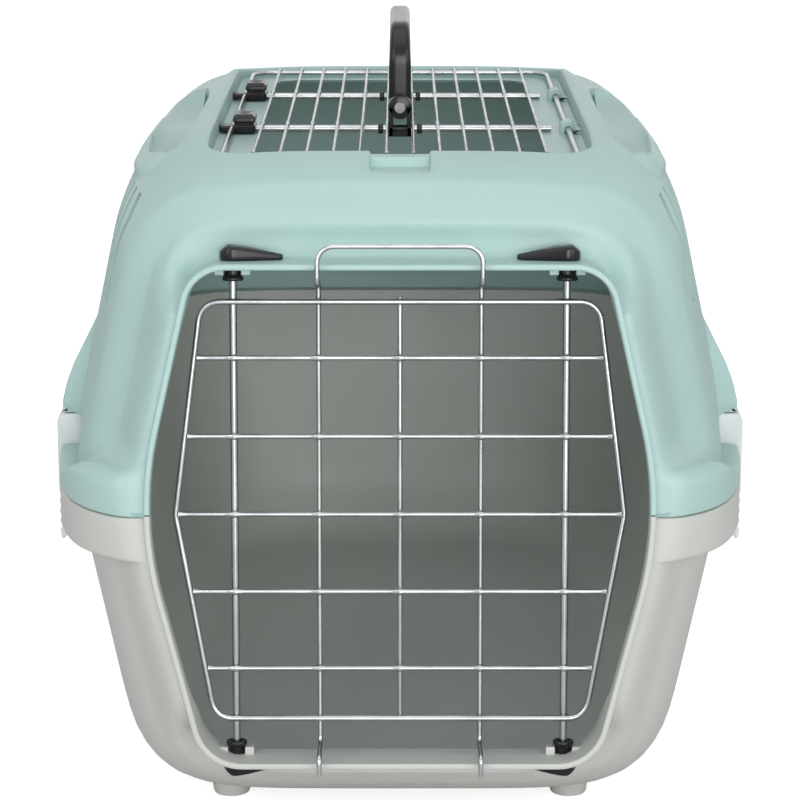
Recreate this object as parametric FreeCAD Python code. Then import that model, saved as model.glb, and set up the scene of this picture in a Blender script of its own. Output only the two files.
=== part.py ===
import FreeCAD, Part
import math
import os

os.makedirs("parts", exist_ok=True)

# All sizes are millimetres. The origin is on the floor under the middle of the carrier,
# +X is to the right seen from the door, +Y runs to the back and +Z is up.

# Shells. The bows are the radii of the slightly curved sides and ends of a plan outline.
wall = 2.5
round_steps = 7

# Working allowances for cutting shapes and for picking edges
slack = 1.0
cut_past = 60.0
tiny = 0.01

# Rim where the two shells meet
split_height = 170.0
rim_half_width = 177.0
rim_front = 272.0
rim_rear = 277.0
rim_side_bow = 3000.0
rim_end_bow = 1000.0
rim_corner = 62.0
rim_up = 22.0
rim_side_up = 10.0
rim_end_run = 222.0
rim_down = 22.0
rim_shoulder_round = 9.0
rim_lower_round = 3.0

# Cover, the upper shell
cover_rise = 170.0
cover_side_set_in = 2.5
cover_end_set_in = 10.0
cover_side_bow = 2600.0
cover_end_bow = 900.0
cover_corner = 70.0
cover_side_slope = 0.213
cover_front_slope = 0.15
cover_rear_slope = 0.14
cover_side_round = 28.0
cover_side_round_height = 50.0
cover_front_round = 92.0
cover_rear_round = 131.0
cover_end_round_height = 60.0

# Tub, the lower shell
floor_height = 9.0
tub_side_set_in = 5.7
tub_front_set_in = 7.0
tub_rear_set_in = 9.0
tub_side_bow = 2600.0
tub_end_bow = 900.0
tub_corner = 62.0
tub_side_slope = 0.21
tub_front_slope = 0.02
tub_rear_slope = 0.12
tub_round_height = 40.0
tub_side_round = 20.0
tub_front_round = 46.0
tub_rear_round = 34.0

# Moulded feet
foot_radius = 10.5
foot_x = 88.0
foot_y = 190.0
foot_draft = 1.0

# Door plane: it leans back, and lies door_set_back behind the rim's front at the split
door_lean = 5.6
door_set_back = 24.0
lip_ahead = 16.5
lip_behind = 11.0
lip_side = 6.3
lip_edge = 3.2

# Door opening, measured in the door plane from the split
opening_top = 119.0
opening_bottom = 123.6
opening_top_half = 99.0
opening_mid_half = 126.2
opening_mid_drop = 0.5
opening_bottom_half = 94.5
opening_top_round = 19.0
opening_mid_round = 175.0
opening_bottom_round = 22.0

# Door wires
frame_wire_radius = 1.5
thin_wire_radius = 1.2
rod_radius = 1.9
weld_gap = 0.05
frame_top = 102.3
frame_bottom = 104.9
frame_top_half = 96.5
frame_mid_half = 109.8
frame_mid_drop = 2.5
frame_bottom_half = 91.5
frame_corner_round = 14.0
frame_mid_round = 12.0
cross_wire_count = 5
cross_wire_pitch = 38.6
cross_wire_centre = -2.3
upright_overlap = 2.0
loop_half_width = 39.5
loop_ahead = 4.0
loop_top = 131.0
loop_under_lip = 7.0
loop_over_ledge = 5.1
loop_tip_drop = 10.5
loop_bend = 4.0
loop_corner = 8.0
rod_x = 81.0

# Bushes on the ends of the door rods
bush_length = 6.4
bush_radius = 3.7
bush_flange_radius = 5.2
bush_flange = 1.6
bush_funnel = 1.2
bush_stem_depth = 3.0
seat_gap = 0.3
pin_gap = 0.05
slot_gap = 0.3

# Lock levers on the outer side of the lip
lever_stem_radius = 2.0
lever_height = 7.0
lever_head_radius = 6.4
lever_tip_radius = 2.0
lever_tip_reach = 22.4
lever_tail_reach = 8.0
lever_tail_radius = 3.0
lever_chamfer = 1.4
pocket_gap = 0.6
socket_wall = 4.4
socket_height = 3.0
socket_gap = 0.6
socket_length = 10.0

# Roof hatch
hatch_centre_y = -7.0
hatch_half_width = 90.0
hatch_half_length = 166.0
hatch_corner = 14.0
tray_depth = 11.0
tray_side_gap = 5.5
tray_end_gap = 4.0
tray_corner = 18.0
hatch_open_half_width = 75.0
hatch_open_half_length = 156.0
hatch_open_corner = 14.0
hatch_wire_radius = 0.8
hatch_wire_count = 12
hatch_wire_pitch = 13.4
hatch_rod_half_gap = 63.25
hatch_rod_right = 81.0
hatch_rod_left = 87.0
hook_width = 12.0
hook_wall = 2.6
notch_half_width = 15.0
notch_depth = 12.0
notch_floor_drop = 1.0

# Hatch latches
slider_width = 18.0
slider_inner = 80.6
slider_outer = 92.6
slider_height = 10.0
slider_lift = 0.8
slider_travel = 4.0
slider_nose_height = 3.4
slider_nose_width = 10.0
slider_chamfer = 2.0
dimple_radius = 7.0
dimple_depth = 1.2

# Carrying handle on the hatch
handle_pivot_rise = 11.8
bracket_half_width = 5.4
bracket_head_radius = 6.5
bracket_thickness = 8.0
bracket_foot_half_width = 12.0
bracket_foot_height = 2.2
handle_pin_radius = 2.0
handle_pin_head_radius = 2.9
handle_pin_head = 1.0
handle_pin_reach = 7.7
handle_gap = 0.3
handle_width = 12.0
handle_thickness = 11.0
handle_rise = 43.0
handle_corner = 20.0
handle_edge_round = 3.0

# Side latches and the humps above them
latch_y = 130.0
latch_width = 50.0
latch_thickness = 3.2
latch_proud = 3.4
latch_drop = 44.0
latch_gap = 0.5
latch_hook = 8.5
latch_hook_thickness = 2.6
latch_edge_round = 1.2
latch_ridge = 1.0
latch_ridge_count = 3
latch_ridge_pitch = 7.0
latch_ridge_margin = 4.4
latch_pivot_drop = 35.0
latch_pivot_inset = 8.0
latch_pin_radius = 1.5
knuckle_radius = 3.6
knuckle_half_width = 14.6
ear_width = 4.0
ear_radius = 3.2
hump_width = 56.0
hump_rise = 73.0
hump_foot_proud = 0.8
hump_shoulder_rise = 17.0
hump_shoulder_set_in = 2.6
hump_round = 5.0

# Side vents and shoulder scoops of the cover
vent_slot_width = 6.0
vent_pitch = 14.0
vent_half_length = 143.0
vent_low_rise = 92.0
vent_high_rise = 134.0
vent_cut_depth = 30.0
scoop_radius = 13.0
scoop_set_in = 52.0
scoop_drop = 1.0
scoop_centre_y = -37.0
scoop_half_run = 79.0
belt_slot_length = 30.0
belt_slot_height = 5.0
belt_slot_drop = 6.0

# Sizes that follow from the driving ones
roof_height = split_height + cover_rise
cover_half_width = rim_half_width - cover_side_set_in
cover_front = rim_front - cover_end_set_in
cover_rear = rim_rear - cover_end_set_in
tub_half_width = rim_half_width - tub_side_set_in
tub_front = rim_front - tub_front_set_in
tub_rear = rim_rear - tub_rear_set_in
door_y = door_set_back - rim_front
ledge_height = roof_height - tray_depth
latch_low = split_height - latch_drop
latch_pivot_height = split_height - latch_pivot_drop
hump_top = split_height + hump_rise
vent_low = split_height + vent_low_rise
vent_high = split_height + vent_high_rise
scoop_x = rim_half_width - scoop_set_in
scoop_height = roof_height - scoop_drop
rim_shape = (rim_side_bow, rim_end_bow, rim_corner)
cover_shape = (cover_side_bow, cover_end_bow, cover_corner)
tub_shape = (tub_side_bow, tub_end_bow, tub_corner)
rod_depth = frame_wire_radius + rod_radius + weld_gap
upright_depth = frame_wire_radius + thin_wire_radius + weld_gap
loop_front = -(lip_ahead + loop_ahead)
pocket_back = rod_depth + lever_tail_reach + lever_tail_radius + pocket_gap
hatch_rod_height = ledge_height + seat_gap + rod_radius
handle_pivot_height = hatch_rod_height + handle_pivot_rise
handle_top = handle_pivot_height + handle_rise
hatch_wire_height = hatch_rod_height + rod_radius + hatch_wire_radius + weld_gap
hatch_frame_height = hatch_wire_height - hatch_wire_radius - frame_wire_radius - weld_gap
rim_top = split_height + rim_up
rim_side_top = split_height + rim_side_up
rim_bottom = split_height - rim_down
wide_cut = 3 * rim_rear


def vec(x, y, z):
    return FreeCAD.Vector(x, y, z)


def box(x_low, x_high, y_low, y_high, z_low, z_high):
    return Part.makeBox(x_high - x_low, y_high - y_low, z_high - z_low, vec(x_low, y_low, z_low))


def mirrored(shape):
    return shape.mirror(vec(0, 0, 0), vec(1, 0, 0))


def on_door(shape):
    # Carries a shape from the upright door frame (x, depth, height) to its leaning place.
    turn = FreeCAD.Rotation(vec(1, 0, 0), -door_lean)
    placed = shape.copy()
    placed.Placement = FreeCAD.Placement(vec(0, door_y, split_height), turn).multiply(shape.Placement)
    return placed


def bent_path(points, radii, closed):
    # Straight runs through the points, with a tangent arc of the given radius at each bend.
    count = len(points)
    last = count if closed else count - 1
    bends = range(count) if closed else range(1, count - 1)
    into = {}
    out_of = {}
    middle = {}
    for i in bends:
        corner = points[i]
        before = (points[i - 1] - corner).normalize()
        after = (points[(i + 1) % count] - corner).normalize()
        half = before.getAngle(after) / 2
        reach = radii[i] / math.tan(half)
        bisector = (before + after).normalize()
        into[i] = corner + before * reach
        out_of[i] = corner + after * reach
        middle[i] = corner + bisector * (radii[i] / math.sin(half) - radii[i])
    edges = []
    for i in range(last):
        following = (i + 1) % count
        start = out_of.get(i, points[i])
        end = into.get(following, points[following])
        edges.append(Part.LineSegment(start, end).toShape())
        if following in into:
            edges.append(Part.Arc(end, middle[following], out_of[following]).toShape())
    return Part.Wire(edges)


def tube(path, radius):
    start = path.OrderedEdges[0]
    tangent = start.tangentAt(start.FirstParameter)
    ring = Part.Wire(Part.Circle(start.valueAt(start.FirstParameter), tangent, radius).toShape())
    sweep = Part.BRepOffsetAPI.MakePipeShell(path)
    sweep.add(ring)
    sweep.build()
    sweep.makeSolid()
    return Part.Solid(sweep.shape()) if sweep.shape().ShapeType == "Shell" else sweep.shape()


def flat_outline(corners, radii, depth):
    # A closed outline across the door, from the corners of its right half, top first.
    right = [vec(x, depth, z) for x, z in corners]
    left = [vec(-x, depth, z) for x, z in reversed(corners)]
    return bent_path(right + left, radii + radii[::-1], True)


def outline_corner(half_width, length, shape):
    # The corner arc of a plan outline, tangent to its bowed side and its bowed end.
    side_radius, end_radius, corner = shape
    side_x = half_width - side_radius
    end_y = length - end_radius
    from_side = side_radius - corner
    from_end = end_radius - corner
    apart = math.hypot(side_x, end_y)
    along = (from_side ** 2 - from_end ** 2 + apart ** 2) / (2 * apart)
    across = math.sqrt(from_side ** 2 - along ** 2)
    x = side_x - along * side_x / apart + across * end_y / -apart
    y = along * end_y / apart + across * -side_x / apart
    on_side = (side_x + (x - side_x) * side_radius / from_side, y * side_radius / from_side)
    on_end = (x * end_radius / from_end, end_y + (y - end_y) * end_radius / from_end)
    toward = math.hypot((on_side[0] + on_end[0]) / 2 - x, (on_side[1] + on_end[1]) / 2 - y)
    middle = (x + ((on_side[0] + on_end[0]) / 2 - x) * corner / toward,
              y + ((on_side[1] + on_end[1]) / 2 - y) * corner / toward)
    return on_side, middle, on_end


def plan_outline(half_width, front, rear, shape, height):
    # Bowed sides and ends joined by corner arcs, all tangent.
    front_side, front_middle, front_end = outline_corner(half_width, front, shape)
    rear_side, rear_middle, rear_end = outline_corner(half_width, rear, shape)

    def arc(*spots):
        return Part.Arc(*[vec(x, y, height) for x, y in spots]).toShape()

    def flip(spot, across, along):
        return (spot[0] * across, spot[1] * along)

    edges = [
        arc(flip(front_end, -1, -1), (0, -front), flip(front_end, 1, -1)),
        arc(flip(front_end, 1, -1), flip(front_middle, 1, -1), flip(front_side, 1, -1)),
        arc(flip(front_side, 1, -1), (half_width, 0), rear_side),
        arc(rear_side, rear_middle, rear_end),
        arc(rear_end, (0, rear), flip(rear_end, -1, 1)),
        arc(flip(rear_end, -1, 1), flip(rear_middle, -1, 1), flip(rear_side, -1, 1)),
        arc(flip(rear_side, -1, 1), (-half_width, 0), flip(front_side, -1, -1)),
        arc(flip(front_side, -1, -1), flip(front_middle, -1, -1), flip(front_end, -1, -1)),
    ]
    return Part.Wire(edges)


def inset_shape(shape, inset):
    return tuple(radius - inset for radius in shape)


def rounding(share):
    # How far a quarter ellipse has turned in, as a share of its width.
    held = min(max(share, 0.0), 1.0)
    return 1 - math.sqrt(1 - held * held)


def cover_sizes(height):
    up = height - split_height
    side_share = (height - roof_height + cover_side_round_height) / cover_side_round_height
    end_share = (height - roof_height + cover_end_round_height) / cover_end_round_height
    half_width = cover_half_width - cover_side_slope * up - cover_side_round * rounding(side_share)
    front = cover_front - cover_front_slope * up - cover_front_round * rounding(end_share)
    rear = cover_rear - cover_rear_slope * up - cover_rear_round * rounding(end_share)
    return half_width, front, rear


def tub_sizes(height):
    down = split_height - height
    share = (floor_height + tub_round_height - height) / tub_round_height
    half_width = tub_half_width - tub_side_slope * down - tub_side_round * rounding(share)
    front = tub_front - tub_front_slope * down - tub_front_round * rounding(share)
    rear = tub_rear - tub_rear_slope * down - tub_rear_round * rounding(share)
    return half_width, front, rear


def shell_form(sizes, shape, heights, inset, lift):
    # A closed form through plan outlines. The inner form is inset and lifted by the wall.
    outlines = []
    for height in heights:
        half_width, front, rear = sizes(height)
        outlines.append(plan_outline(half_width - inset, front - inset, rear - inset,
                                     inset_shape(shape, inset), height + lift))
    return Part.makeLoft(outlines, True, True)


def bow_reach(half_width, side_radius, y):
    return half_width - side_radius + math.sqrt(side_radius ** 2 - y ** 2)


def side_reach(sizes, shape, y, height):
    return bow_reach(sizes(height)[0], shape[0], y)


def rim_reach(y):
    return bow_reach(rim_half_width, rim_shape[0], y)


def rim_form(inset, low, high, round_low, round_high):
    outline = plan_outline(rim_half_width - inset, rim_front - inset, rim_rear - inset,
                           inset_shape(rim_shape, inset), low)
    form = Part.Face(outline).extrude(vec(0, 0, high - low))
    for height, radius in ((low, round_low), (high, round_high)):
        if radius > 0:
            edges = [e for e in form.Edges if abs(e.BoundBox.ZMax - height) < tiny
                     and e.BoundBox.ZLength < tiny]
            form = form.makeFillet(radius, edges)
    return form


def cover_rim(inset):
    # The cover's rim stands high at both ends and under the side latches, and low between them.
    rim = rim_form(inset, split_height - inset, rim_top - inset, 0, rim_shoulder_round - inset)
    near = latch_y - hump_width / 2
    far = latch_y + hump_width / 2
    low_runs = []
    for start, end in ((-rim_end_run, -far), (-near, near), (far, rim_end_run)):
        low_runs.append(box(-wide_cut, wide_cut, start - inset, end + inset, rim_side_top - inset, rim_top + slack))
    return rim.cut(low_runs)


def round_heights(straight_end, round_end):
    # Heights at even turns of a quarter ellipse.
    span = round_end - straight_end
    turns = [math.pi / 2 * i / round_steps for i in range(round_steps + 1)]
    return [straight_end + span * math.sin(turn) for turn in turns]


cover_heights = [split_height]
cover_heights += round_heights(roof_height - cover_end_round_height, roof_height)
tub_heights = [split_height]
tub_heights += round_heights(floor_height + tub_round_height, floor_height)

opening_corners = [
    (opening_top_half, opening_top),
    (opening_mid_half, -opening_mid_drop),
    (opening_bottom_half, -opening_bottom),
]
opening_rounds = [opening_top_round, opening_mid_round, opening_bottom_round]
lip_corners = [
    (opening_top_half + lip_side, opening_top + lip_edge),
    (opening_mid_half + lip_side, -opening_mid_drop),
    (opening_bottom_half + lip_side, -opening_bottom - lip_edge),
]
lip_rounds = [radius + lip_edge for radius in opening_rounds]


def door_prism(corners, radii, front, back):
    face = Part.Face(flat_outline(corners, radii, front))
    return face.extrude(vec(0, back - front, 0))


def lip_ring():
    outer = door_prism(lip_corners, lip_rounds, -lip_ahead, lip_behind)
    return outer.cut(door_prism(opening_corners, opening_rounds, -lip_ahead - slack, lip_behind + slack))


def lever_pocket(side, upper, grow):
    # The hollow in the front wall that a lock lever lies in, open to the front.
    inward = -side
    tail = side * (rod_x + lever_tail_reach + lever_tail_radius + pocket_gap + grow)
    tip = side * rod_x + inward * (lever_tip_reach + lever_tip_radius + pocket_gap + grow)
    back = pocket_back + grow
    near = opening_top + lip_edge if upper else opening_bottom + lip_edge
    far = near + seat_gap + lever_height + pocket_gap + grow
    near = near - grow
    low, high = (near, far) if upper else (-far, -near)
    return on_door(box(min(tail, tip), max(tail, tip), -cut_past, back, low, high))


def stem_hole(side, upper):
    base = opening_top - lip_edge if upper else -opening_bottom - 2 * lip_edge
    radius = lever_stem_radius + pin_gap
    return on_door(Part.makeCylinder(radius, 3 * lip_edge, vec(side * rod_x, rod_depth, base)))


def bush_socket(side, upper):
    # The block that backs a bush and stands on both sides of it.
    outer = bush_radius + socket_gap + socket_wall
    x = side * rod_x
    back = min(rod_depth + outer, lip_behind)
    overlap = lip_edge / 2
    if upper:
        low, high = opening_top - socket_height, opening_top + overlap
    else:
        low, high = -opening_bottom - overlap, -opening_bottom + socket_height
    return on_door(box(x - outer, x + outer, back - socket_length, back, low, high))


def bush_room(side, upper):
    # The round seat of a bush, open to the front.
    radius = bush_radius + socket_gap
    x = side * rod_x
    low = opening_top - socket_height if upper else -opening_bottom
    seat = Part.makeCylinder(radius, socket_height, vec(x, rod_depth, low))
    way_out = box(x - radius, x + radius, -lip_ahead - slack, rod_depth, low, low + socket_height)
    return on_door(seat.fuse(way_out))


def rounded_slab(half_width, half_length, corner, low, high):
    points = [vec(half_width, -half_length, low), vec(half_width, half_length, low),
              vec(-half_width, half_length, low), vec(-half_width, -half_length, low)]
    slab = Part.Face(bent_path(points, [corner] * 4, True)).extrude(vec(0, 0, high - low))
    slab.translate(vec(0, hatch_centre_y, 0))
    return slab


def roof_tray(grow):
    half_width = hatch_half_width + frame_wire_radius + tray_side_gap + grow
    half_length = hatch_half_length + frame_wire_radius + tray_end_gap + grow
    return rounded_slab(half_width, half_length, tray_corner + grow, ledge_height - grow, roof_height + wall)


def finger_notch(grow):
    front = hatch_centre_y - hatch_half_length - frame_wire_radius - tray_end_gap
    return box(-notch_half_width - grow, notch_half_width + grow, front - notch_depth - grow,
               front + notch_depth, ledge_height - notch_floor_drop - grow, roof_height + wall)


def scoop(side, grow):
    radius = scoop_radius + grow
    low = scoop_centre_y - scoop_half_run
    x = side * scoop_x
    form = Part.makeCylinder(radius, 2 * scoop_half_run, vec(x, low, scoop_height), vec(0, 1, 0))
    for end in (low, low + 2 * scoop_half_run):
        form = form.fuse(Part.makeSphere(radius, vec(x, end, scoop_height)))
    return form


def belt_slot(side):
    middle = scoop_height - belt_slot_drop
    inner = scoop_x - scoop_radius
    low, high = sorted((side * (inner - 4 * wall), side * (inner + 2 * wall)))
    rear = scoop_centre_y + scoop_half_run
    return box(low, high, rear - belt_slot_length, rear,
               middle - belt_slot_height / 2, middle + belt_slot_height / 2)


def hump(side, end, inset):
    # The bulge that fairs the side latch into the wall above it.
    y = end * latch_y
    foot = rim_reach(y) + hump_foot_proud - inset
    top = side_reach(cover_sizes, cover_shape, y, hump_top)
    base = rim_top + latch_hook_thickness + 2 * latch_gap
    inside = foot - hump_width
    half = hump_width / 2 - inset
    corners = [(inside, base - 2 * inset), (foot, base - 2 * inset), (foot, base + wall),
               (foot - hump_shoulder_set_in, base + hump_shoulder_rise), (top - inset, hump_top), (inside, hump_top)]
    points = [vec(side * x, y - half, z) for x, z in corners]
    face = Part.Face(Part.makePolygon(points + points[:1]))
    form = face.extrude(vec(0, 2 * half, 0))
    if inset == 0:
        slanted = [e for e in form.Edges if e.BoundBox.YLength < tiny and e.BoundBox.ZLength > wall * 2
                   and e.BoundBox.XLength > slack]
        form = form.makeFillet(hump_round, slanted)
    return form


def latch_bay(side, end):
    # The break in both rims that a side latch lies in.
    y = end * latch_y
    half = latch_width / 2 + latch_gap
    face = rim_reach(y) + latch_proud - latch_thickness - latch_gap
    low, high = sorted((side * face, side * (rim_half_width + wall)))
    return box(low, high, y - half, y + half, rim_bottom - wall, rim_top + wall)


def vent_slots(side):
    count = int(2 * vent_half_length / vent_pitch) + 1
    first = scoop_centre_y - vent_pitch * (count - 1) / 2
    slots = []
    for i in range(count):
        y = first + i * vent_pitch
        reach = side_reach(cover_sizes, cover_shape, y, vent_low)
        low, high = sorted((side * (reach - vent_cut_depth), side * (reach + wall)))
        slots.append(box(low, high, y - vent_slot_width / 2, y + vent_slot_width / 2, vent_low, vent_high))
    return slots


def hinge_hook(end):
    # A moulded eye on the right of the tray that the hatch frame turns in.
    y = hatch_centre_y + end * hatch_rod_half_gap
    reach = frame_wire_radius + pin_gap + hook_wall
    right = hatch_half_width + frame_wire_radius + tray_side_gap + wall / 2
    block = box(hatch_half_width - reach, right, y - hook_width / 2, y + hook_width / 2,
                ledge_height - wall / 2, hatch_frame_height + reach)
    bore = Part.makeCylinder(frame_wire_radius + pin_gap, 2 * hook_width,
                             vec(hatch_half_width, y - hook_width, hatch_frame_height), vec(0, 1, 0))
    return block.cut(bore)


def nose_slot(end):
    y = hatch_centre_y + end * hatch_rod_half_gap
    tray = hatch_half_width + frame_wire_radius + tray_side_gap
    low = ledge_height + slider_lift - seat_gap
    return box(-tray - 2 * wall, -tray + wall, y - slider_nose_width / 2 - slot_gap,
               y + slider_nose_width / 2 + slot_gap, low, low + slider_nose_height + 2 * seat_gap)


def below_split(shape):
    return shape.common(box(-wide_cut, wide_cut, -wide_cut, wide_cut, -wide_cut, split_height))


def above_split(shape):
    return shape.common(box(-wide_cut, wide_cut, -wide_cut, wide_cut, split_height, wide_cut))


def latch_ears(side, end):
    y = end * latch_y
    axis_x = side * (rim_reach(y) - latch_pivot_inset)
    root = side * (side_reach(tub_sizes, tub_shape, y, latch_pivot_height) - wall / 2)
    ears = []
    for near in (-1, 1):
        inner = y + near * (knuckle_half_width + seat_gap)
        outer = inner + near * ear_width
        low_y, high_y = sorted((inner, outer))
        low_x, high_x = sorted((root, axis_x))
        bar = box(low_x, high_x, low_y, high_y, latch_pivot_height - ear_radius,
                  latch_pivot_height + ear_radius)
        eye = Part.makeCylinder(ear_radius, ear_width, vec(axis_x, low_y, latch_pivot_height), vec(0, 1, 0))
        hole = Part.makeCylinder(latch_pin_radius + pin_gap, 3 * ear_width,
                                 vec(axis_x, low_y - ear_width, latch_pivot_height), vec(0, 1, 0))
        ears.append(bar.fuse(eye).cut(hole))
    return ears


corners_of_shell = [(side, end) for side in (-1, 1) for end in (-1, 1)]


def make_cover():
    body = shell_form(cover_sizes, cover_shape, cover_heights, 0, 0)
    body = body.fuse(cover_rim(0))
    body = body.fuse([hump(side, end, 0) for side, end in corners_of_shell])
    room = shell_form(cover_sizes, cover_shape, cover_heights, wall, -wall)
    room = room.fuse(cover_rim(wall))
    room = room.fuse([hump(side, end, wall) for side, end in corners_of_shell])
    hollows = [roof_tray(0), finger_notch(0)]
    walls = [roof_tray(wall), finger_notch(wall)]
    for side in (-1, 1):
        hollows += [scoop(side, 0), lever_pocket(side, True, 0)]
        walls += [scoop(side, wall), lever_pocket(side, True, wall)]
    cover = body.cut(hollows).cut(room.cut(walls))
    cover = cover.cut(on_door(door_prism(lip_corners, lip_rounds, -cut_past, lip_behind)))
    cover = cover.fuse([above_split(on_door(lip_ring()))])
    cover = cover.fuse([bush_socket(side, True) for side in (-1, 1)] + [hinge_hook(end) for end in (-1, 1)])
    cuts = [rounded_slab(hatch_open_half_width, hatch_open_half_length, hatch_open_corner,
                         ledge_height - cut_past, ledge_height + wall)]
    for side, end in corners_of_shell:
        cuts.append(latch_bay(side, end))
    for side in (-1, 1):
        cuts += [stem_hole(side, True), bush_room(side, True), belt_slot(side), nose_slot(side)]
        cuts += vent_slots(side)
    return cover.cut(cuts)


def make_tub():
    outer = shell_form(tub_sizes, tub_shape, tub_heights, 0, 0)
    groove = rim_form(wall, rim_bottom - wall, split_height - wall, 0, 0).cut(outer)
    body = outer.fuse(rim_form(0, rim_bottom, split_height, rim_lower_round, 0)).cut(groove)
    room = shell_form(tub_sizes, tub_shape, tub_heights, wall, wall)
    walls = [lever_pocket(side, False, wall) for side in (-1, 1)]
    tub = body.cut(room.cut(walls)).cut([lever_pocket(side, False, 0) for side in (-1, 1)])
    tub = tub.cut(on_door(door_prism(lip_corners, lip_rounds, -cut_past, lip_behind)))
    added = [below_split(on_door(lip_ring()))]
    added += [bush_socket(side, False) for side in (-1, 1)]
    pits = []
    for side, end in corners_of_shell:
        added += latch_ears(side, end)
        at = vec(side * foot_x, end * foot_y, 0)
        added.append(Part.makeCone(foot_radius - foot_draft, foot_radius, floor_height + wall / 2, at))
        pits.append(Part.makeCylinder(foot_radius - foot_draft - wall, floor_height + 2 * wall,
                                      at + vec(0, 0, wall)))
    cuts = [stem_hole(side, False) for side in (-1, 1)] + [bush_room(side, False) for side in (-1, 1)] + pits
    cuts += [latch_bay(side, end) for side, end in corners_of_shell]
    return tub.fuse(added).cut(cuts)


def make_door_frame():
    corners = [(frame_top_half, frame_top), (frame_mid_half, -frame_mid_drop),
               (frame_bottom_half, -frame_bottom)]
    radii = [frame_corner_round, frame_mid_round, frame_corner_round]
    return on_door(tube(flat_outline(corners, radii, 0), frame_wire_radius))


def frame_half_at(height):
    middle = -frame_mid_drop
    if height > middle:
        share = (height - middle) / (frame_top - middle)
        return frame_mid_half + share * (frame_top_half - frame_mid_half)
    share = (middle - height) / (frame_bottom + middle)
    return frame_mid_half + share * (frame_bottom_half - frame_mid_half)


def make_cross_wires():
    wires = []
    for i in range(cross_wire_count):
        height = cross_wire_centre + cross_wire_pitch * (i - (cross_wire_count - 1) / 2)
        half = min(frame_half_at(height + step) for step in (-thin_wire_radius, thin_wire_radius))
        half = half - frame_wire_radius - 4 * weld_gap
        wires.append(Part.makeCylinder(thin_wire_radius, 2 * half, vec(-half, 0, height), vec(1, 0, 0)))
    return on_door(Part.makeCompound(wires))


def make_centre_wire():
    low = -frame_bottom - upright_overlap
    return on_door(Part.makeCylinder(thin_wire_radius, frame_top + upright_overlap - low,
                                     vec(0, upright_depth, low)))


def make_loop_wire():
    x = loop_half_width
    high = opening_top - loop_under_lip
    low = -opening_bottom + loop_over_ledge
    tip = -opening_bottom - loop_tip_drop
    half = [vec(x, loop_front, tip), vec(x, loop_front, low), vec(x, upright_depth, low),
            vec(x, upright_depth, high), vec(x, loop_front, high), vec(x, loop_front, loop_top)]
    radii = [0, loop_bend, loop_bend, loop_bend, loop_bend, loop_corner]
    other = [vec(-p.x, p.y, p.z) for p in reversed(half)]
    return on_door(tube(bent_path(half + other, radii + radii[::-1], False), thin_wire_radius))


def make_door_rod(side):
    low = -opening_bottom + seat_gap + bush_stem_depth + seat_gap
    high = opening_top - seat_gap - bush_stem_depth - seat_gap
    return on_door(Part.makeCylinder(rod_radius, high - low, vec(side * rod_x, rod_depth, low)))


def make_bush(side, upper):
    # A flanged bush on the rod's end. The left ones turn on the lever's stem,
    # the right ones leave it through a slot in their back.
    body = Part.makeCylinder(bush_radius, bush_length)
    flange = Part.makeCylinder(bush_flange_radius, bush_flange, vec(0, 0, bush_length - bush_flange))
    taper = Part.makeCone(bush_radius, bush_flange_radius, bush_flange,
                          vec(0, 0, bush_length - 2 * bush_flange))
    form = body.fuse([flange, taper])
    rod_bore = Part.makeCylinder(rod_radius + pin_gap, bush_length, vec(0, 0, bush_stem_depth))
    funnel = Part.makeCone(rod_radius + pin_gap, rod_radius + pin_gap + 2 * bush_funnel, bush_funnel,
                           vec(0, 0, bush_length - bush_funnel))
    gap = pin_gap if side < 0 else slot_gap
    stem = Part.makeCylinder(lever_stem_radius + gap, bush_stem_depth + seat_gap)
    cuts = [rod_bore, funnel, stem]
    if side > 0:
        half = lever_stem_radius + slot_gap
        cuts.append(box(-half, half, 0, 2 * bush_radius, 0, bush_stem_depth + seat_gap))
    form = form.cut(cuts)
    if upper:
        form.rotate(vec(0, 0, 0), vec(0, 1, 0), 180)
    base = opening_top - seat_gap if upper else -opening_bottom + seat_gap
    form.translate(vec(side * rod_x, rod_depth, base))
    return on_door(form)


def make_lever(side, upper):
    # A teardrop lever with a round stem. It lies along the lip with its tip to the middle.
    outline = [(0, 0, lever_head_radius), (lever_tip_reach, 0, lever_tip_radius),
               (-lever_tail_reach, 0, lever_tail_radius)]
    form = None
    for (x1, y1, r1), (x2, y2, r2) in ((outline[0], outline[1]), (outline[0], outline[2])):
        span = x2 - x1
        lean_side = math.acos((r1 - r2) / abs(span))
        toward = 1 if span > 0 else -1
        blade = []
        for sign, radius, centre in ((1, r1, x1), (1, r2, x2), (-1, r2, x2), (-1, r1, x1)):
            angle = sign * lean_side
            blade.append(vec(centre + toward * radius * math.cos(angle), radius * math.sin(angle), 0))
        plate = Part.Face(Part.makePolygon(blade + blade[:1])).extrude(vec(0, 0, lever_height))
        tip = Part.makeCylinder(r2, lever_height, vec(x2, y2, 0))
        form = plate.fuse(tip) if form is None else form.fuse([plate, tip])
    form = form.fuse(Part.makeCylinder(lever_head_radius, lever_height)).removeSplitter()
    top = [e for e in form.Edges if e.BoundBox.ZMin > lever_height - tiny]
    form = form.makeChamfer(lever_chamfer, top)
    stem_length = seat_gap + lip_edge + seat_gap + bush_stem_depth
    form = form.fuse(Part.makeCylinder(lever_stem_radius, stem_length + slack, vec(0, 0, -stem_length)))
    if side > 0:
        form = form.mirror(vec(0, 0, 0), vec(1, 0, 0))
    if not upper:
        form = form.mirror(vec(0, 0, 0), vec(0, 0, 1))
    base = opening_top + lip_edge + seat_gap
    base = base if upper else -(opening_bottom + lip_edge + seat_gap)
    form.translate(vec(side * rod_x, rod_depth, base))
    return on_door(form)


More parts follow.
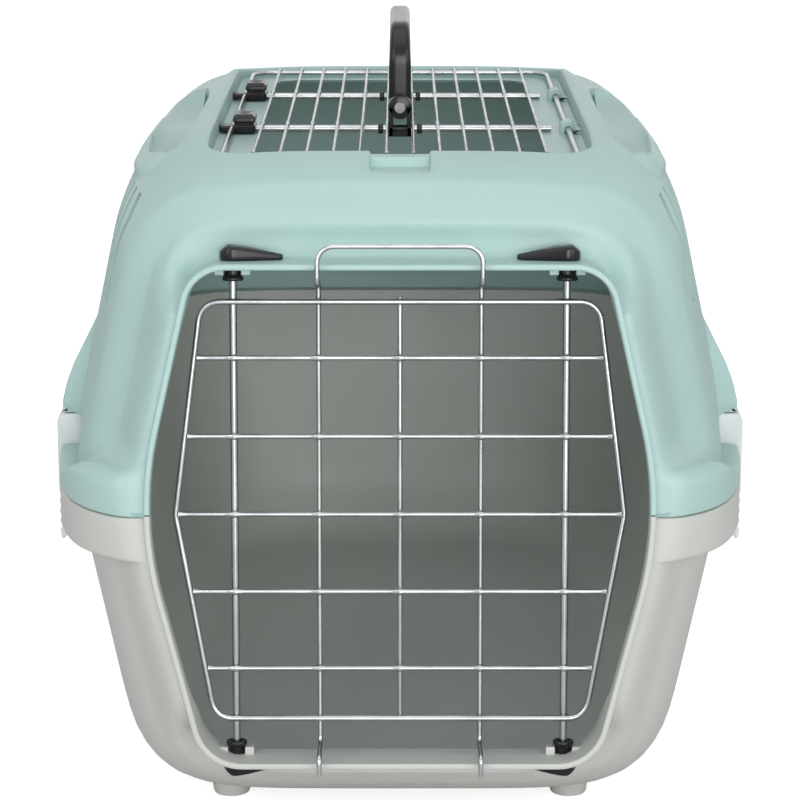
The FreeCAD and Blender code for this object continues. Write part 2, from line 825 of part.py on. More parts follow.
def make_hatch_frame():
    w = hatch_half_width
    front = hatch_centre_y - hatch_half_length
    rear = hatch_centre_y + hatch_half_length
    z = hatch_frame_height
    points = [vec(w, front, z), vec(w, rear, z), vec(-w, rear, z), vec(-w, front, z)]
    return tube(bent_path(points, [hatch_corner] * 4, True), frame_wire_radius)


def make_hatch_wires():
    wires = []
    start = hatch_centre_y - hatch_half_length - frame_wire_radius
    length = 2 * (hatch_half_length + frame_wire_radius)
    for i in range(hatch_wire_count):
        x = hatch_wire_pitch * (i - (hatch_wire_count - 1) / 2)
        wires.append(Part.makeCylinder(hatch_wire_radius, length, vec(x, start, hatch_wire_height),
                                       vec(0, 1, 0)))
    return Part.makeCompound(wires)


def make_hatch_rod(end):
    y = hatch_centre_y + end * hatch_rod_half_gap
    return Part.makeCylinder(rod_radius, hatch_rod_right + hatch_rod_left,
                             vec(-hatch_rod_left, y, hatch_rod_height), vec(1, 0, 0))


def make_slider(end):
    # A thumb slider on the left of the hatch. It runs on the end of the cross rod.
    y = hatch_centre_y + end * hatch_rod_half_gap
    low = ledge_height + slider_lift
    half = slider_width / 2
    block = box(-slider_outer, -slider_inner, y - half, y + half, low, low + slider_height)
    top = [e for e in block.Edges if e.BoundBox.ZMin > low + slider_height - tiny]
    block = block.makeChamfer(slider_chamfer, top)
    tray = hatch_half_width + frame_wire_radius + tray_side_gap
    nose = box(-tray + seat_gap, -slider_outer + slack, y - slider_nose_width / 2, y + slider_nose_width / 2,
               low, low + slider_nose_height)
    rod_length = hatch_rod_left - slider_inner + seat_gap + slider_travel
    rod_run = Part.makeCylinder(rod_radius + pin_gap, rod_length,
                                vec(-hatch_rod_left - seat_gap, y, hatch_rod_height), vec(1, 0, 0))
    run = frame_wire_radius + seat_gap
    frame_run = box(-hatch_half_width - run, -hatch_half_width + run + slider_travel, y - slider_width,
                    y + slider_width, low - slack, hatch_frame_height + run)
    dimple = Part.makeSphere(dimple_radius, vec(-(slider_outer + slider_inner) / 2, y,
                                                low + slider_height + dimple_radius - dimple_depth))
    return block.fuse(nose).cut([rod_run, frame_run, dimple])


def make_bracket(end):
    # An upright lug clipped on a cross rod between the two middle wires.
    y = hatch_centre_y + end * hatch_rod_half_gap
    half = bracket_thickness / 2
    foot_low = hatch_rod_height - rod_radius - bracket_foot_height
    lug = box(-bracket_half_width, bracket_half_width, y - half, y + half, foot_low, handle_pivot_height)
    head = Part.makeCylinder(bracket_head_radius, bracket_thickness, vec(0, y - half, handle_pivot_height),
                             vec(0, 1, 0))
    foot = box(-bracket_foot_half_width, bracket_foot_half_width, y - half, y + half, foot_low,
               hatch_rod_height)
    rod_bore = Part.makeCylinder(rod_radius + pin_gap, 4 * bracket_foot_half_width,
                                 vec(-2 * bracket_foot_half_width, y, hatch_rod_height), vec(1, 0, 0))
    pin_bore = Part.makeCylinder(handle_pin_radius + pin_gap, 2 * bracket_thickness,
                                 vec(0, y - bracket_thickness, handle_pivot_height), vec(0, 1, 0))
    return lug.fuse([head, foot]).cut([rod_bore, pin_bore])


def make_handle_pin(end):
    y = hatch_centre_y + end * hatch_rod_half_gap
    outer = y + end * (bracket_thickness / 2 + seat_gap)
    length = bracket_thickness + 2 * seat_gap + handle_gap + handle_pin_reach
    axis = vec(0, -end, 0)
    shank = Part.makeCylinder(handle_pin_radius, length, vec(0, outer, handle_pivot_height), axis)
    head = Part.makeCylinder(handle_pin_head_radius, handle_pin_head, vec(0, outer, handle_pivot_height),
                             vec(0, end, 0))
    return shank.fuse(head)


def make_handle():
    # An upright bail with round feet. Its pins lie along the length of the hatch.
    outer = hatch_rod_half_gap - bracket_thickness / 2 - handle_gap
    inner = outer - handle_thickness
    foot = handle_width / 2
    base = handle_pivot_height
    x = -handle_width / 2
    outside = [vec(x, -outer, base), vec(x, -outer, handle_top), vec(x, outer, handle_top),
               vec(x, outer, base)]
    inside = [vec(x, inner, base), vec(x, inner, handle_top - handle_thickness),
              vec(x, -inner, handle_top - handle_thickness), vec(x, -inner, base)]
    over = bent_path(outside, [0, handle_corner, handle_corner, 0], False)
    inner_corner = handle_corner - handle_thickness
    under = bent_path(inside, [0, inner_corner, inner_corner, 0], False)
    right_end = Part.LineSegment(outside[3], inside[0]).toShape()
    left_end = Part.LineSegment(inside[3], outside[0]).toShape()
    outline = Part.Wire(over.OrderedEdges + [right_end] + under.OrderedEdges + [left_end])
    form = Part.Face(outline).extrude(vec(handle_width, 0, 0))
    long_edges = [e for e in form.Edges if e.BoundBox.XLength < tiny and e.BoundBox.ZMax > base + tiny]
    form = form.makeFillet(handle_edge_round, long_edges)
    for end in (-1, 1):
        low = min(end * outer, end * inner)
        eye = Part.makeCylinder(foot, handle_thickness, vec(0, low, base), vec(0, 1, 0))
        form = form.fuse(eye)
    bores = []
    for end in (-1, 1):
        start = end * (outer + slack)
        bores.append(Part.makeCylinder(handle_pin_radius + pin_gap, slack + handle_pin_reach + 2 * seat_gap,
                                       vec(0, start, base), vec(0, -end, 0)))
    form = form.cut(bores)
    form.translate(vec(0, hatch_centre_y, 0))
    return form


def make_side_latch(side, end):
    # A clip that hangs on a pin under the rim and hooks over the cover's shoulder.
    y = end * latch_y
    half = latch_width / 2
    outer = rim_reach(y) + latch_proud
    inner = outer - latch_thickness
    top = rim_top + latch_gap + latch_hook_thickness
    plate = box(inner, outer, y - half, y + half, latch_low, top)
    hook = box(inner - latch_hook, inner + slack, y - half, y + half, top - latch_hook_thickness, top)
    form = plate.fuse(hook).removeSplitter()
    outside = [e for e in form.Edges if e.BoundBox.XMin > outer - tiny]
    form = form.makeFillet(latch_edge_round, outside)
    for i in range(latch_ridge_count):
        z = split_height + latch_ridge_pitch * (i - (latch_ridge_count - 1) / 2)
        ridge = Part.makeCylinder(latch_ridge, latch_width - 2 * latch_ridge_margin,
                                  vec(outer, y - half + latch_ridge_margin, z), vec(0, 1, 0))
        form = form.fuse(ridge)
    axis_x = rim_reach(y) - latch_pivot_inset
    knuckle = Part.makeCylinder(knuckle_radius, 2 * knuckle_half_width,
                                vec(axis_x, y - knuckle_half_width, latch_pivot_height), vec(0, 1, 0))
    web = box(axis_x, inner + slack, y - knuckle_half_width, y + knuckle_half_width,
              latch_pivot_height - knuckle_radius, latch_pivot_height + knuckle_radius)
    bore = Part.makeCylinder(latch_pin_radius + pin_gap, latch_width,
                             vec(axis_x, y - half, latch_pivot_height), vec(0, 1, 0))
    form = form.fuse([knuckle, web]).cut(bore)
    return form if side > 0 else mirrored(form)


def make_latch_pins():
    pins = []
    for side, end in corners_of_shell:
        y = end * latch_y
        half = knuckle_half_width + seat_gap + ear_width
        pins.append(Part.makeCylinder(latch_pin_radius, 2 * half,
                                      vec(side * (rim_reach(y) - latch_pivot_inset), y - half,
                                          latch_pivot_height), vec(0, 1, 0)))
    return Part.makeCompound(pins)


def one_solid(shape):
    return shape.Solids[0] if len(shape.Solids) == 1 else shape


side_names = {-1: "left", 1: "right"}
end_names = {-1: "front", 1: "rear"}

nodes = {
    "lower_tub": make_tub(),
    "upper_cover": make_cover(),
    "door_frame_wire": make_door_frame(),
    "door_cross_wires": make_cross_wires(),
    "door_centre_wire": make_centre_wire(),
    "door_loop_wire": make_loop_wire(),
    "hatch_frame_wire": make_hatch_frame(),
    "hatch_long_wires": make_hatch_wires(),
    "carry_handle": make_handle(),
    "side_latch_pins": make_latch_pins(),
}
for side, side_name in side_names.items():
    nodes["door_rod_" + side_name] = make_door_rod(side)
    for upper, level in ((True, "top"), (False, "bottom")):
        nodes["door_bush_" + level + "_" + side_name] = make_bush(side, upper)
        nodes["lock_lever_" + level + "_" + side_name] = make_lever(side, upper)
for end, end_name in end_names.items():
    nodes["hatch_rod_" + end_name] = make_hatch_rod(end)
    nodes["hatch_slider_" + end_name] = make_slider(end)
    nodes["handle_bracket_" + end_name] = make_bracket(end)
    nodes["handle_pin_" + end_name] = make_handle_pin(end)
    for side, side_name in side_names.items():
        nodes["side_latch_" + end_name + "_" + side_name] = make_side_latch(side, end)

for name, shape in nodes.items():
    shape = one_solid(shape)
    shape.exportStep("parts/" + name + ".step")
    size = shape.BoundBox
    print(name, len(shape.Solids), shape.isValid(), round(shape.Volume, 1),
          [round(v, 2) for v in (size.XMin, size.XMax, size.YMin, size.YMax, size.ZMin, size.ZMax)])
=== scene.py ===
import math

import bmesh
import bpy
import numpy as np
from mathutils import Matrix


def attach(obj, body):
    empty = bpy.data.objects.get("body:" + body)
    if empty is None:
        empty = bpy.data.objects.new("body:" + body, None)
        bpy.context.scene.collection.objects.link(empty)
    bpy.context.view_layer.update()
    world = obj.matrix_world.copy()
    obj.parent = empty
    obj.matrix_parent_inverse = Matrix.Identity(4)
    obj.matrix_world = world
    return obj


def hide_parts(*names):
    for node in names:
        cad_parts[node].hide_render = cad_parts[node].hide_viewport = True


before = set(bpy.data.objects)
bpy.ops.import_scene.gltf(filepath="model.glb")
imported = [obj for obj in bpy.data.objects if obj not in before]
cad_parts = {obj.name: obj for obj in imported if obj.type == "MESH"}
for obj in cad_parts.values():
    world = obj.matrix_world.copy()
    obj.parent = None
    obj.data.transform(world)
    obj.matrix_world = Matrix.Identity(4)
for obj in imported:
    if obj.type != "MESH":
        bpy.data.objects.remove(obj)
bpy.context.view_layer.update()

# Lengths are millimetres until makePiece writes them as metres.
# x runs to the right seen from the door, y to the back, z up.
place = {"split": 170.0, "doorY": -248.0, "lean": math.radians(5.6), "rodX": 81.0, "rodDepth": 3.45,
         "hatchY": -7.0, "ledge": 329.0, "roof": 340.0, "rods": (-70.25, 56.25)}
sides = ((-1, "left"), (1, "right"))
rodEnds = tuple(zip(place["rods"], ("front", "rear")))


# helpers: numbers
def smoothStep(low, high, value):
    # 0 before low, 1 past high, three squares less two cubes of the share between
    share = np.clip((value - low) / (high - low), 0.0, 1.0)
    return share * share * (3.0 - 2.0 * share)


def quarter(share):
    # how far a quarter ellipse has turned in, as a share of its width
    held = np.clip(share, 0.0, 1.0)
    return 1.0 - np.sqrt(1.0 - held * held)


def unit(vectors):
    return vectors / np.maximum(np.linalg.norm(vectors, axis=-1, keepdims=True), 1e-9)


def onDoor(points):
    # from the upright door frame (x, depth, height) to its leaning place
    c, s = math.cos(place["lean"]), math.sin(place["lean"])
    x, v, w = points[..., 0], points[..., 1], points[..., 2]
    return np.stack([x, place["doorY"] + v * c + w * s, place["split"] - v * s + w * c], axis=-1)


def fromDoor(points):
    # the way back, from the leaning place to the upright frame
    c, s = math.cos(place["lean"]), math.sin(place["lean"])
    y, z = points[..., 1] - place["doorY"], points[..., 2] - place["split"]
    return np.stack([points[..., 0], y * c - z * s, y * s + z * c], axis=-1)


def bentPath(points, radii, closed, steps=7):
    # straight runs through the points, with a tangent arc of the given radius at each bend
    points = [np.array(p, float) for p in points]
    count = len(points)
    path = []
    for i, (corner, radius) in enumerate(zip(points, radii)):
        if radius <= 0 or (not closed and i in (0, count - 1)):
            path.append(corner[None])
            continue
        before, after = unit(points[i - 1] - corner), unit(points[(i + 1) % count] - corner)
        half = math.acos(float(np.clip(before @ after, -1, 1))) / 2
        middle = corner + unit(before + after) * radius / math.sin(half)
        start = corner + before * radius / math.tan(half) - middle
        across = unit(before + after) * -1
        first = unit(start)
        turn = math.pi - 2 * half
        side = unit(across - first * (first @ across))
        angles = np.linspace(0, turn, steps)[:, None]
        path.append(middle + radius * (first * np.cos(angles) + side * np.sin(angles)))
    return np.concatenate(path)


def runAlong(line):
    # the length run up to each point of a line
    return np.concatenate([[0], np.cumsum(np.linalg.norm(np.diff(line, axis=0), axis=1))])


def pointsAt(line, run, at):
    return np.stack([np.interp(at, run, line[:, k]) for k in range(line.shape[1])], axis=1)


def evenPath(path, step, closed):
    # the same line with points about one step apart
    line = np.concatenate([path, path[:1]]) if closed else path
    run = runAlong(line)
    at = np.linspace(0, run[-1], max(int(run[-1] / step), 2) + 1)
    return pointsAt(line, run, at[:-1] if closed else at)


def lineDistance(points, line, closed):
    # distance of flat points from a flat line, and whether a closed line holds them
    start = line if closed else line[:-1]
    end = np.roll(line, -1, axis=0) if closed else line[1:]
    best = np.full(points.shape[:-1], 1e9)
    inside = np.zeros(points.shape[:-1], bool)
    for a, b in zip(start, end):
        d = b - a
        t = np.clip(((points - a) @ d) / max(d @ d, 1e-9), 0, 1)
        best = np.minimum(best, np.linalg.norm(points - a - t[..., None] * d, axis=-1))
        crosses = (points[..., 1] < a[1]) != (points[..., 1] < b[1])
        rise = d[1] if abs(d[1]) > 1e-9 else 1e-9
        inside ^= crosses & (points[..., 0] < a[0] + (points[..., 1] - a[1]) * d[0] / rise)
    return best, inside


# helpers: meshes. A part is (points, faces)
def ringsPart(pts, wrapRows=False, caps=False, keep=None):
    # closed rings, one to a row, joined by quads; the last may join the first, or both ends be capped
    pts = np.asarray(pts)
    rows, cols = pts.shape[:2]
    i = np.arange(rows if wrapRows else rows - 1)[:, None]
    j = np.arange(cols)[None, :]
    iNext, jNext = (i + 1) % rows, (j + 1) % cols
    quads = np.stack([i * cols + j, i * cols + jNext, iNext * cols + jNext, iNext * cols + j], axis=-1)
    faces = (quads.reshape(-1, 4) if keep is None else quads[keep]).tolist()
    if caps:
        faces += [list(range(cols))[::-1], list(range((rows - 1) * cols, rows * cols))]
    return pts.reshape(-1, 3), faces


def joinParts(parts):
    points, faces, start = [], [], 0
    for verts, quads in parts:
        points.append(verts)
        faces += [[k + start for k in face] for face in quads]
        start += len(verts)
    return np.concatenate(points), faces


def mirrorPart(part):
    return part[0] * np.array([-1.0, 1, 1]), [face[::-1] for face in part[1]]


def moved(part, offset):
    return part[0] + np.array(offset), part[1]


def leaned(part, offset=(0.0, 0.0, 0.0)):
    # a part drawn upright, put into the leaning door plane
    return onDoor(part[0] + np.array(offset)), part[1]


def tubePart(path, radius, around=12, closed=False):
    # a circle carried along the path; radius may change from point to point
    ahead = np.roll(path, -1, axis=0) - path if closed else np.gradient(path, axis=0)
    tangent = unit(ahead + np.roll(ahead, 1, axis=0)) if closed else unit(ahead)
    ref = np.array([0.61, 0.47, 0.64])      # a slant that no wire follows
    across = unit(ref - tangent * (tangent @ ref)[:, None])
    up = np.cross(tangent, across)
    radius = np.broadcast_to(radius, len(path))
    if not closed:
        # a cut end has a small broken edge
        path = np.concatenate([path[:1] - tangent[:1] * 0.01, path, path[-1:] + tangent[-1:] * 0.01])
        across, up = np.pad(across, ((1, 1), (0, 0)), "edge"), np.pad(up, ((1, 1), (0, 0)), "edge")
        radius = np.pad(radius, 1, "edge") * np.concatenate([[0.8], np.ones(len(path) - 2), [0.8]])
    turn = np.arange(around) * 2 * math.pi / around
    ring = across[:, None] * np.cos(turn)[None, :, None] + up[:, None] * np.sin(turn)[None, :, None]
    pts = path[:, None] + ring * radius[:, None, None]
    return ringsPart(pts, closed, not closed)


def insetOutline(outline, inset):
    # each point of a counter-clockwise outline moved inward along its normal
    ahead = np.roll(outline, -1, axis=0) - np.roll(outline, 1, axis=0)
    normal = unit(np.stack([ahead[:, 1], -ahead[:, 0]], axis=1))
    return outline - normal * inset


def outlineRings(outline, levels):
    # the outline at each level of (inset, height)
    return [np.concatenate([insetOutline(outline, inset), np.full((len(outline), 1), height)], axis=1)
            for inset, height in levels]


def stackPart(outline, levels):
    return ringsPart(outlineRings(outline, levels), caps=True)


def roundLevels(low, high, lowRound, highRound, steps=4):
    # levels of a block whose lower and upper edges are quarter rounds
    turn = np.linspace(0, math.pi / 2, steps + 1)
    levels = [(lowRound * (1 - math.sin(t)), low + lowRound * (1 - math.cos(t))) for t in turn]
    levels += [(highRound * (1 - math.cos(t)), high - highRound * (1 - math.sin(t))) for t in turn]
    return levels


def remap(part, origin, xAxis, yAxis, zAxis):
    # a part's own axes laid along the given ones
    return part[0] @ np.array([xAxis, yAxis, zAxis], float) + np.array(origin, float), part[1]


def alongY(part, origin):
    # an outline drawn in x and z, carried along y
    return remap(part, origin, (1, 0, 0), (0, 0, 1), (0, -1, 0))


def roundedBox(halfX, halfY, corner, steps=6):
    corners = [(halfX, -halfY), (halfX, halfY), (-halfX, halfY), (-halfX, -halfY)]
    return bentPath(corners, [corner] * 4, True, steps)


def circleOutline(radius, step):
    turn = np.linspace(0, 2 * math.pi, int(2 * math.pi * radius / step) + 1)[:-1]
    return np.stack([radius * np.cos(turn), radius * np.sin(turn)], axis=1)


def teardropOutline(head, tip, reach, step):
    # two circles joined by their common tangents: the tip's arc up to the tangent's lean, then the head's
    lean = math.acos((head - tip) / reach)
    tipCount, headCount, whole = 14, 27, 2 * math.pi
    turn = np.concatenate([np.linspace(0, lean, tipCount), np.linspace(lean, whole - lean, headCount),
                           np.linspace(whole - lean, whole, tipCount)[:-1]])
    onTip = np.arange(len(turn)) % (tipCount + headCount) < tipCount
    radius = np.where(onTip, tip, head)
    line = np.stack([np.where(onTip, reach, 0.0) + radius * np.cos(turn), radius * np.sin(turn)], axis=1)
    return evenPath(line, step, True)


def lathePart(profile, around=28, closed=True):
    # a profile of (radius, height) turned about the z axis; an open one is capped at its two poles
    profile = np.array(profile, float)
    turn = np.arange(around) * 2 * math.pi / around
    pts = np.stack([profile[:, :1] * np.cos(turn), profile[:, :1] * np.sin(turn),
                    np.repeat(profile[:, 1:], around, axis=1)], axis=-1)
    return ringsPart(pts, closed, not closed)


def tidyNormals(mesh):
    work = bmesh.new()
    work.from_mesh(mesh)
    bmesh.ops.remove_doubles(work, verts=work.verts, dist=2e-7)
    bmesh.ops.recalc_face_normals(work, faces=work.faces)
    work.to_mesh(mesh)
    work.free()


def makeObject(name, parts, closed=True):
    verts, faces = joinParts(parts)
    mesh = bpy.data.meshes.new(name)
    mesh.from_pydata((verts * 0.001).tolist(), [], faces)
    if closed:
        tidyNormals(mesh)
    obj = bpy.data.objects.new(name, mesh)
    bpy.context.scene.collection.objects.link(obj)
    return obj


def finishPiece(obj, slotName, body, node, sharp=35):
    obj.data.materials.clear()
    obj.data.materials.append(finishes[slotName])
    obj.data.shade_smooth()
    obj.data.set_sharp_from_angle(angle=math.radians(sharp))
    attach(obj, body)
    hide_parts(node)


def makePiece(name, parts, slotName, body, node, sharp=35):
    finishPiece(makeObject(name, parts), slotName, body, node, sharp)


def applyModifiers(obj):
    graph = bpy.context.evaluated_depsgraph_get()
    graph.update()
    mesh = bpy.data.meshes.new_from_object(obj.evaluated_get(graph))
    obj.modifiers.clear()
    obj.data = mesh


def carve(obj, cutters):
    for cutter in cutters:
        step = obj.modifiers.new("carve", "BOOLEAN")
        step.operation = "DIFFERENCE"
        step.solver = "MANIFOLD"
        step.object = cutter
    applyModifiers(obj)
    for cutter in cutters:
        bpy.data.objects.remove(cutter)


# materials
print("materials")


def newMaterial(name):
    material = bpy.data.materials.new(name)
    material.use_nodes = True
    tree = material.node_tree
    return material, tree, tree.nodes["Principled BSDF"]


def noiseNode(tree, coords, scale, detail, stretch=None):
    noise = tree.nodes.new("ShaderNodeTexNoise")
    noise.inputs["Scale"].default_value = scale
    noise.inputs["Detail"].default_value = detail
    vector = coords.outputs["Object"]
    if stretch:
        mapping = tree.nodes.new("ShaderNodeMapping")
        mapping.inputs["Scale"].default_value = stretch
        tree.links.new(vector, mapping.inputs["Vector"])
        vector = mapping.outputs["Vector"]
    tree.links.new(vector, noise.inputs["Vector"])
    return noise.outputs["Fac"]


def rangeNode(tree, source, fromLow, fromHigh, toLow, toHigh):
    node = tree.nodes.new("ShaderNodeMapRange")
    for key, value in (("From Min", fromLow), ("From Max", fromHigh), ("To Min", toLow), ("To Max", toHigh)):
        node.inputs[key].default_value = value
    tree.links.new(source, node.inputs["Value"])
    return node.outputs["Result"]


def mixNode(tree, factor, first, second):
    node = tree.nodes.new("ShaderNodeMix")
    node.data_type = "RGBA"
    tree.links.new(factor, node.inputs["Factor"])
    for socket, value in ((node.inputs[6], first), (node.inputs[7], second)):
        if isinstance(value, tuple):
            socket.default_value = (*value, 1.0)
        else:
            tree.links.new(value, socket)
    return node.outputs[2]


def bumpNode(tree, height, strength, distance, shader):
    bump = tree.nodes.new("ShaderNodeBump")
    bump.inputs["Strength"].default_value = strength
    bump.inputs["Distance"].default_value = distance
    tree.links.new(height, bump.inputs["Height"])
    tree.links.new(bump.outputs["Normal"], shader.inputs["Normal"])


def mouldedPlastic(name, look):
    # tone drifts slowly over the part, edges rub a little paler, the skin has a fine grain
    material, tree, shader = newMaterial(name)
    coords = tree.nodes.new("ShaderNodeTexCoord")
    drift = noiseNode(tree, coords, look["driftScale"], 3.0)
    base = look["colour"]
    deep = tuple(c * look["deep"] for c in base)
    tone = mixNode(tree, rangeNode(tree, drift, 0.35, 0.65, 0.0, 1.0), deep, base)
    geometry = tree.nodes.new("ShaderNodeNewGeometry")
    rubbed = rangeNode(tree, geometry.outputs["Pointiness"], 0.53, 0.60, 0.0, look["rub"])
    pale = tuple(min(c * 0.5 + 0.48, 1.0) for c in base)
    tree.links.new(mixNode(tree, rubbed, tone, pale), shader.inputs["Base Color"])
    smudge = noiseNode(tree, coords, look["smudgeScale"], 5.0)
    tree.links.new(rangeNode(tree, smudge, 0.3, 0.7, *look["rough"]), shader.inputs["Roughness"])
    bumpNode(tree, noiseNode(tree, coords, look["grainScale"], 2.0), look["grain"], 0.0003, shader)
    shader.inputs["IOR"].default_value = 1.49
    shader.inputs["Specular IOR Level"].default_value = look["specular"]
    shader.inputs["Subsurface Weight"].default_value = look["subsurface"]
    shader.inputs["Subsurface Radius"].default_value = (0.004, 0.004, 0.004)
    return material


def drawnMetal(name, look):
    # fine lines along the wire, patches of duller plating
    material, tree, shader = newMaterial(name)
    coords = tree.nodes.new("ShaderNodeTexCoord")
    patch = noiseNode(tree, coords, look["patchScale"], 4.0)
    share = rangeNode(tree, patch, 0.35, 0.68, 0.0, 1.0)
    tree.links.new(mixNode(tree, share, look["bright"], look["dull"]), shader.inputs["Base Color"])
    tree.links.new(rangeNode(tree, patch, 0.3, 0.7, *look["rough"]), shader.inputs["Roughness"])
    lines = noiseNode(tree, coords, look["lineScale"], 2.0, look["stretch"])
    bumpNode(tree, lines, look["lines"], 0.0002, shader)
    shader.inputs["Metallic"].default_value = 1.0
    return material


plastics = {
    "mint_shell": {"colour": (0.40, 0.565, 0.54), "deep": 0.96, "driftScale": 7.0, "rub": 0.12,
                   "smudgeScale": 22.0, "rough": (0.36, 0.46), "grainScale": 1500.0, "grain": 0.12,
                   "specular": 0.45, "subsurface": 0.04},
    "grey_shell": {"colour": (0.535, 0.545, 0.512), "deep": 0.97, "driftScale": 6.0, "rub": 0.10,
                   "smudgeScale": 20.0, "rough": (0.37, 0.48), "grainScale": 1500.0, "grain": 0.12,
                   "specular": 0.42, "subsurface": 0.04},
    "pale_clip": {"colour": (0.70, 0.715, 0.73), "deep": 0.97, "driftScale": 16.0, "rub": 0.12,
                  "smudgeScale": 40.0, "rough": (0.33, 0.44), "grainScale": 1700.0, "grain": 0.10,
                  "specular": 0.45, "subsurface": 0.04},
    "black_plastic": {"colour": (0.012, 0.012, 0.014), "deep": 0.7, "driftScale": 30.0, "rub": 0.03,
                      "smudgeScale": 60.0, "rough": (0.14, 0.25), "grainScale": 2200.0, "grain": 0.06,
                      "specular": 0.3, "subsurface": 0.0}}
metals = {
    "bright_wire": {"bright": (0.50, 0.51, 0.52), "dull": (0.35, 0.36, 0.37), "patchScale": 55.0,
                    "rough": (0.14, 0.26), "lineScale": 900.0, "stretch": (1.0, 1.0, 0.35), "lines": 0.10},
    "steel_pin": {"bright": (0.20, 0.20, 0.21), "dull": (0.13, 0.13, 0.135), "patchScale": 90.0,
                  "rough": (0.26, 0.40), "lineScale": 1100.0, "stretch": (1.0, 0.3, 1.0), "lines": 0.14}}
finishes = {name: mouldedPlastic(name, look) for name, look in plastics.items()}
finishes.update({name: drawnMetal(name, look) for name, look in metals.items()})

# door opening, shared by the shells and the lip
opening = {"corners": [(99.0, 119.0), (126.2, -0.5), (94.5, -123.6)],
           "rounds": [19.0, 175.0, 22.0], "ahead": 16.5, "behind": 11.4,
           "cutGrow": 2.2, "cutFront": -60.0, "cutBack": 30.0}
lipFlare = {"grow": 3.4, "reach": 19.0, "depth": -13.6, "back": 11.2}


def openingLine(grow, step=2.5):
    # the opening's outline in the door plane, clockwise from the top right corner
    right = [(x + grow, w + grow * (1 if w > 100 else -1 if w < -100 else 0)) for x, w in opening["corners"]]
    left = [(-x, w) for x, w in right[::-1]]
    rounds = [r + grow for r in opening["rounds"]]
    flat = bentPath(right + left, rounds + rounds[::-1], True, 14)
    return evenPath(flat, step, True)


def openingPrism(name):
    # the opening's outline, a little larger, carried through the front walls
    line = openingLine(opening["cutGrow"])
    pts = [np.stack([line[:, 0], np.full(len(line), v), line[:, 1]], axis=1)
           for v in (opening["cutFront"], opening["cutBack"])]
    return makeObject(name, [leaned(ringsPart(pts, caps=True))])


def flareToLip(pts):
    # beside the lip the wall swings forward, or back, to lie just behind the lip's front;
    # above and below it the wall stands back behind the levers
    local = fromDoor(pts)
    x, v, w = np.abs(local[..., 0]), local[..., 1], np.abs(local[..., 2])
    away, inside = lineDistance(local[..., [0, 2]], openingLine(lipFlare["grow"], 6.0), True)
    away = np.where(inside, 0.0, away)
    shelf = smoothStep(98, 114, w) * smoothStep(124, 95, x)
    near = 1.0 - smoothStep(0, 1, away / lipFlare["reach"])
    ahead = near * smoothStep(-150, -190, pts[..., 1]) * (1 - shelf)
    v = v + (lipFlare["depth"] - v) * ahead
    held = smoothStep(151, 131, w) * shelf
    local[..., 1] = v * (1 - held) + np.maximum(v, lipFlare["back"]) * held
    return onDoor(local)


# upper cover
print("upper cover")
cover = {"halfWidth": 174.5, "front": 262.0, "rear": 267.0, "power": 5.3, "topPower": 4.2, "wall": 2.5,
         "rimHalf": 177.0, "rimFront": 272.0, "rimRear": 277.0, "rimPower": 5.9, "rimTop": 192.0,
         "shoulder": 8.0, "rimLevel": 175.0, "sideTop": 179.0, "endRun": (240.0, 200.0), "besideClip": 162.4,
         "foot": 199.0, "ventLow": 262.0, "ventHigh": 318.5, "ventFirst": -187.0, "ventPitch": 14.0,
         "ventHalf": 3.0, "vents": 22, "bayY": 130.0, "bayHalf": 25.5, "bayFace": 163.6, "humpHalf": 28.0,
         "humpLow": 195.6, "trayHalf": 97.0, "trayLong": 171.5, "trayCorner": 22.0, "trayEdge": 1.8,
         "openHalf": 75.0, "openLong": 156.0, "openCorner": 14.0, "notchHalf": 14.8, "notchFloor": 329.0,
         "notchLip": 5.5, "notchY": -188.0, "crease": 6.4, "creaseRun": 4.6}
creaseArch = np.array([(158.0, 165.0), (153.0, 197.0), (142.0, 257.0), (131.0, 295.0), (123.0, 308.0),
                       (111.0, 317.0), (99.0, 322.0), (60.0, 325.0), (0.0, 326.0)])
humpLine = np.array([(195.0, 175.0), (201.5, 175.0), (212.0, 172.5), (222.0, 168.6), (233.0, 163.0),
                     (243.0, 157.6), (252.0, 146.0)])
frontX = np.array([0, 4, 8, 12, 14.4, 15.4, 20, 26, 32, 38, 44, 50, 55, 60.0])
roofShares = np.concatenate([np.linspace(0.02, 0.20, 7), np.linspace(0.22, 0.34, 9),
                             np.linspace(0.37, 0.72, 11), np.linspace(0.74, 0.83, 8),
                             [0.87, 0.91, 0.95, 0.98, 1.0]])
cornerCount = 30
trueY, endY = 192.0, 228.0


def sideStations():
    # places along the side: vent edges, bay edges, hump edges, the rim's steps and even steps between
    vents = cover["ventFirst"] + cover["ventPitch"] * np.arange(cover["vents"])[:, None]
    vents = vents + np.array([-cover["ventHalf"], 0.0, cover["ventHalf"], cover["ventPitch"] / 2])
    bay = np.concatenate([[-28.6, -27.6, -26.2, -25.7, -25.3], np.linspace(-20, 20, 6),
                          [25.3, 25.7, 26.2, 27.6, 28.6]])
    far = np.array([192, 197, 204, 212, 220, 228])
    rest = np.concatenate([-far, [112, 164, 170, 176, 182, 187], far])
    every = np.concatenate([vents.reshape(-1), bay - cover["bayY"], bay + cover["bayY"], rest])
    return np.unique(np.round(every, 2))


sideY = sideStations()


def sideAt(yEdge):
    # the side stations fitted to a ring whose straight side ends at yEdge,
    # true up to trueY where there is room
    held = trueY if yEdge > trueY + 6.0 else 0.8 * yEdge
    far = held + (np.abs(sideY) - trueY) * (yEdge - held) / (endY - trueY)
    return np.sign(sideY) * np.where(np.abs(sideY) > trueY, far, np.abs(sideY) * held / trueY)


def cornerPoints(line):
    # a corner's stations, evenly spaced between its two ends
    run = runAlong(line)
    return pointsAt(line, run, np.linspace(0, run[-1], cornerCount + 2)[1:-1])


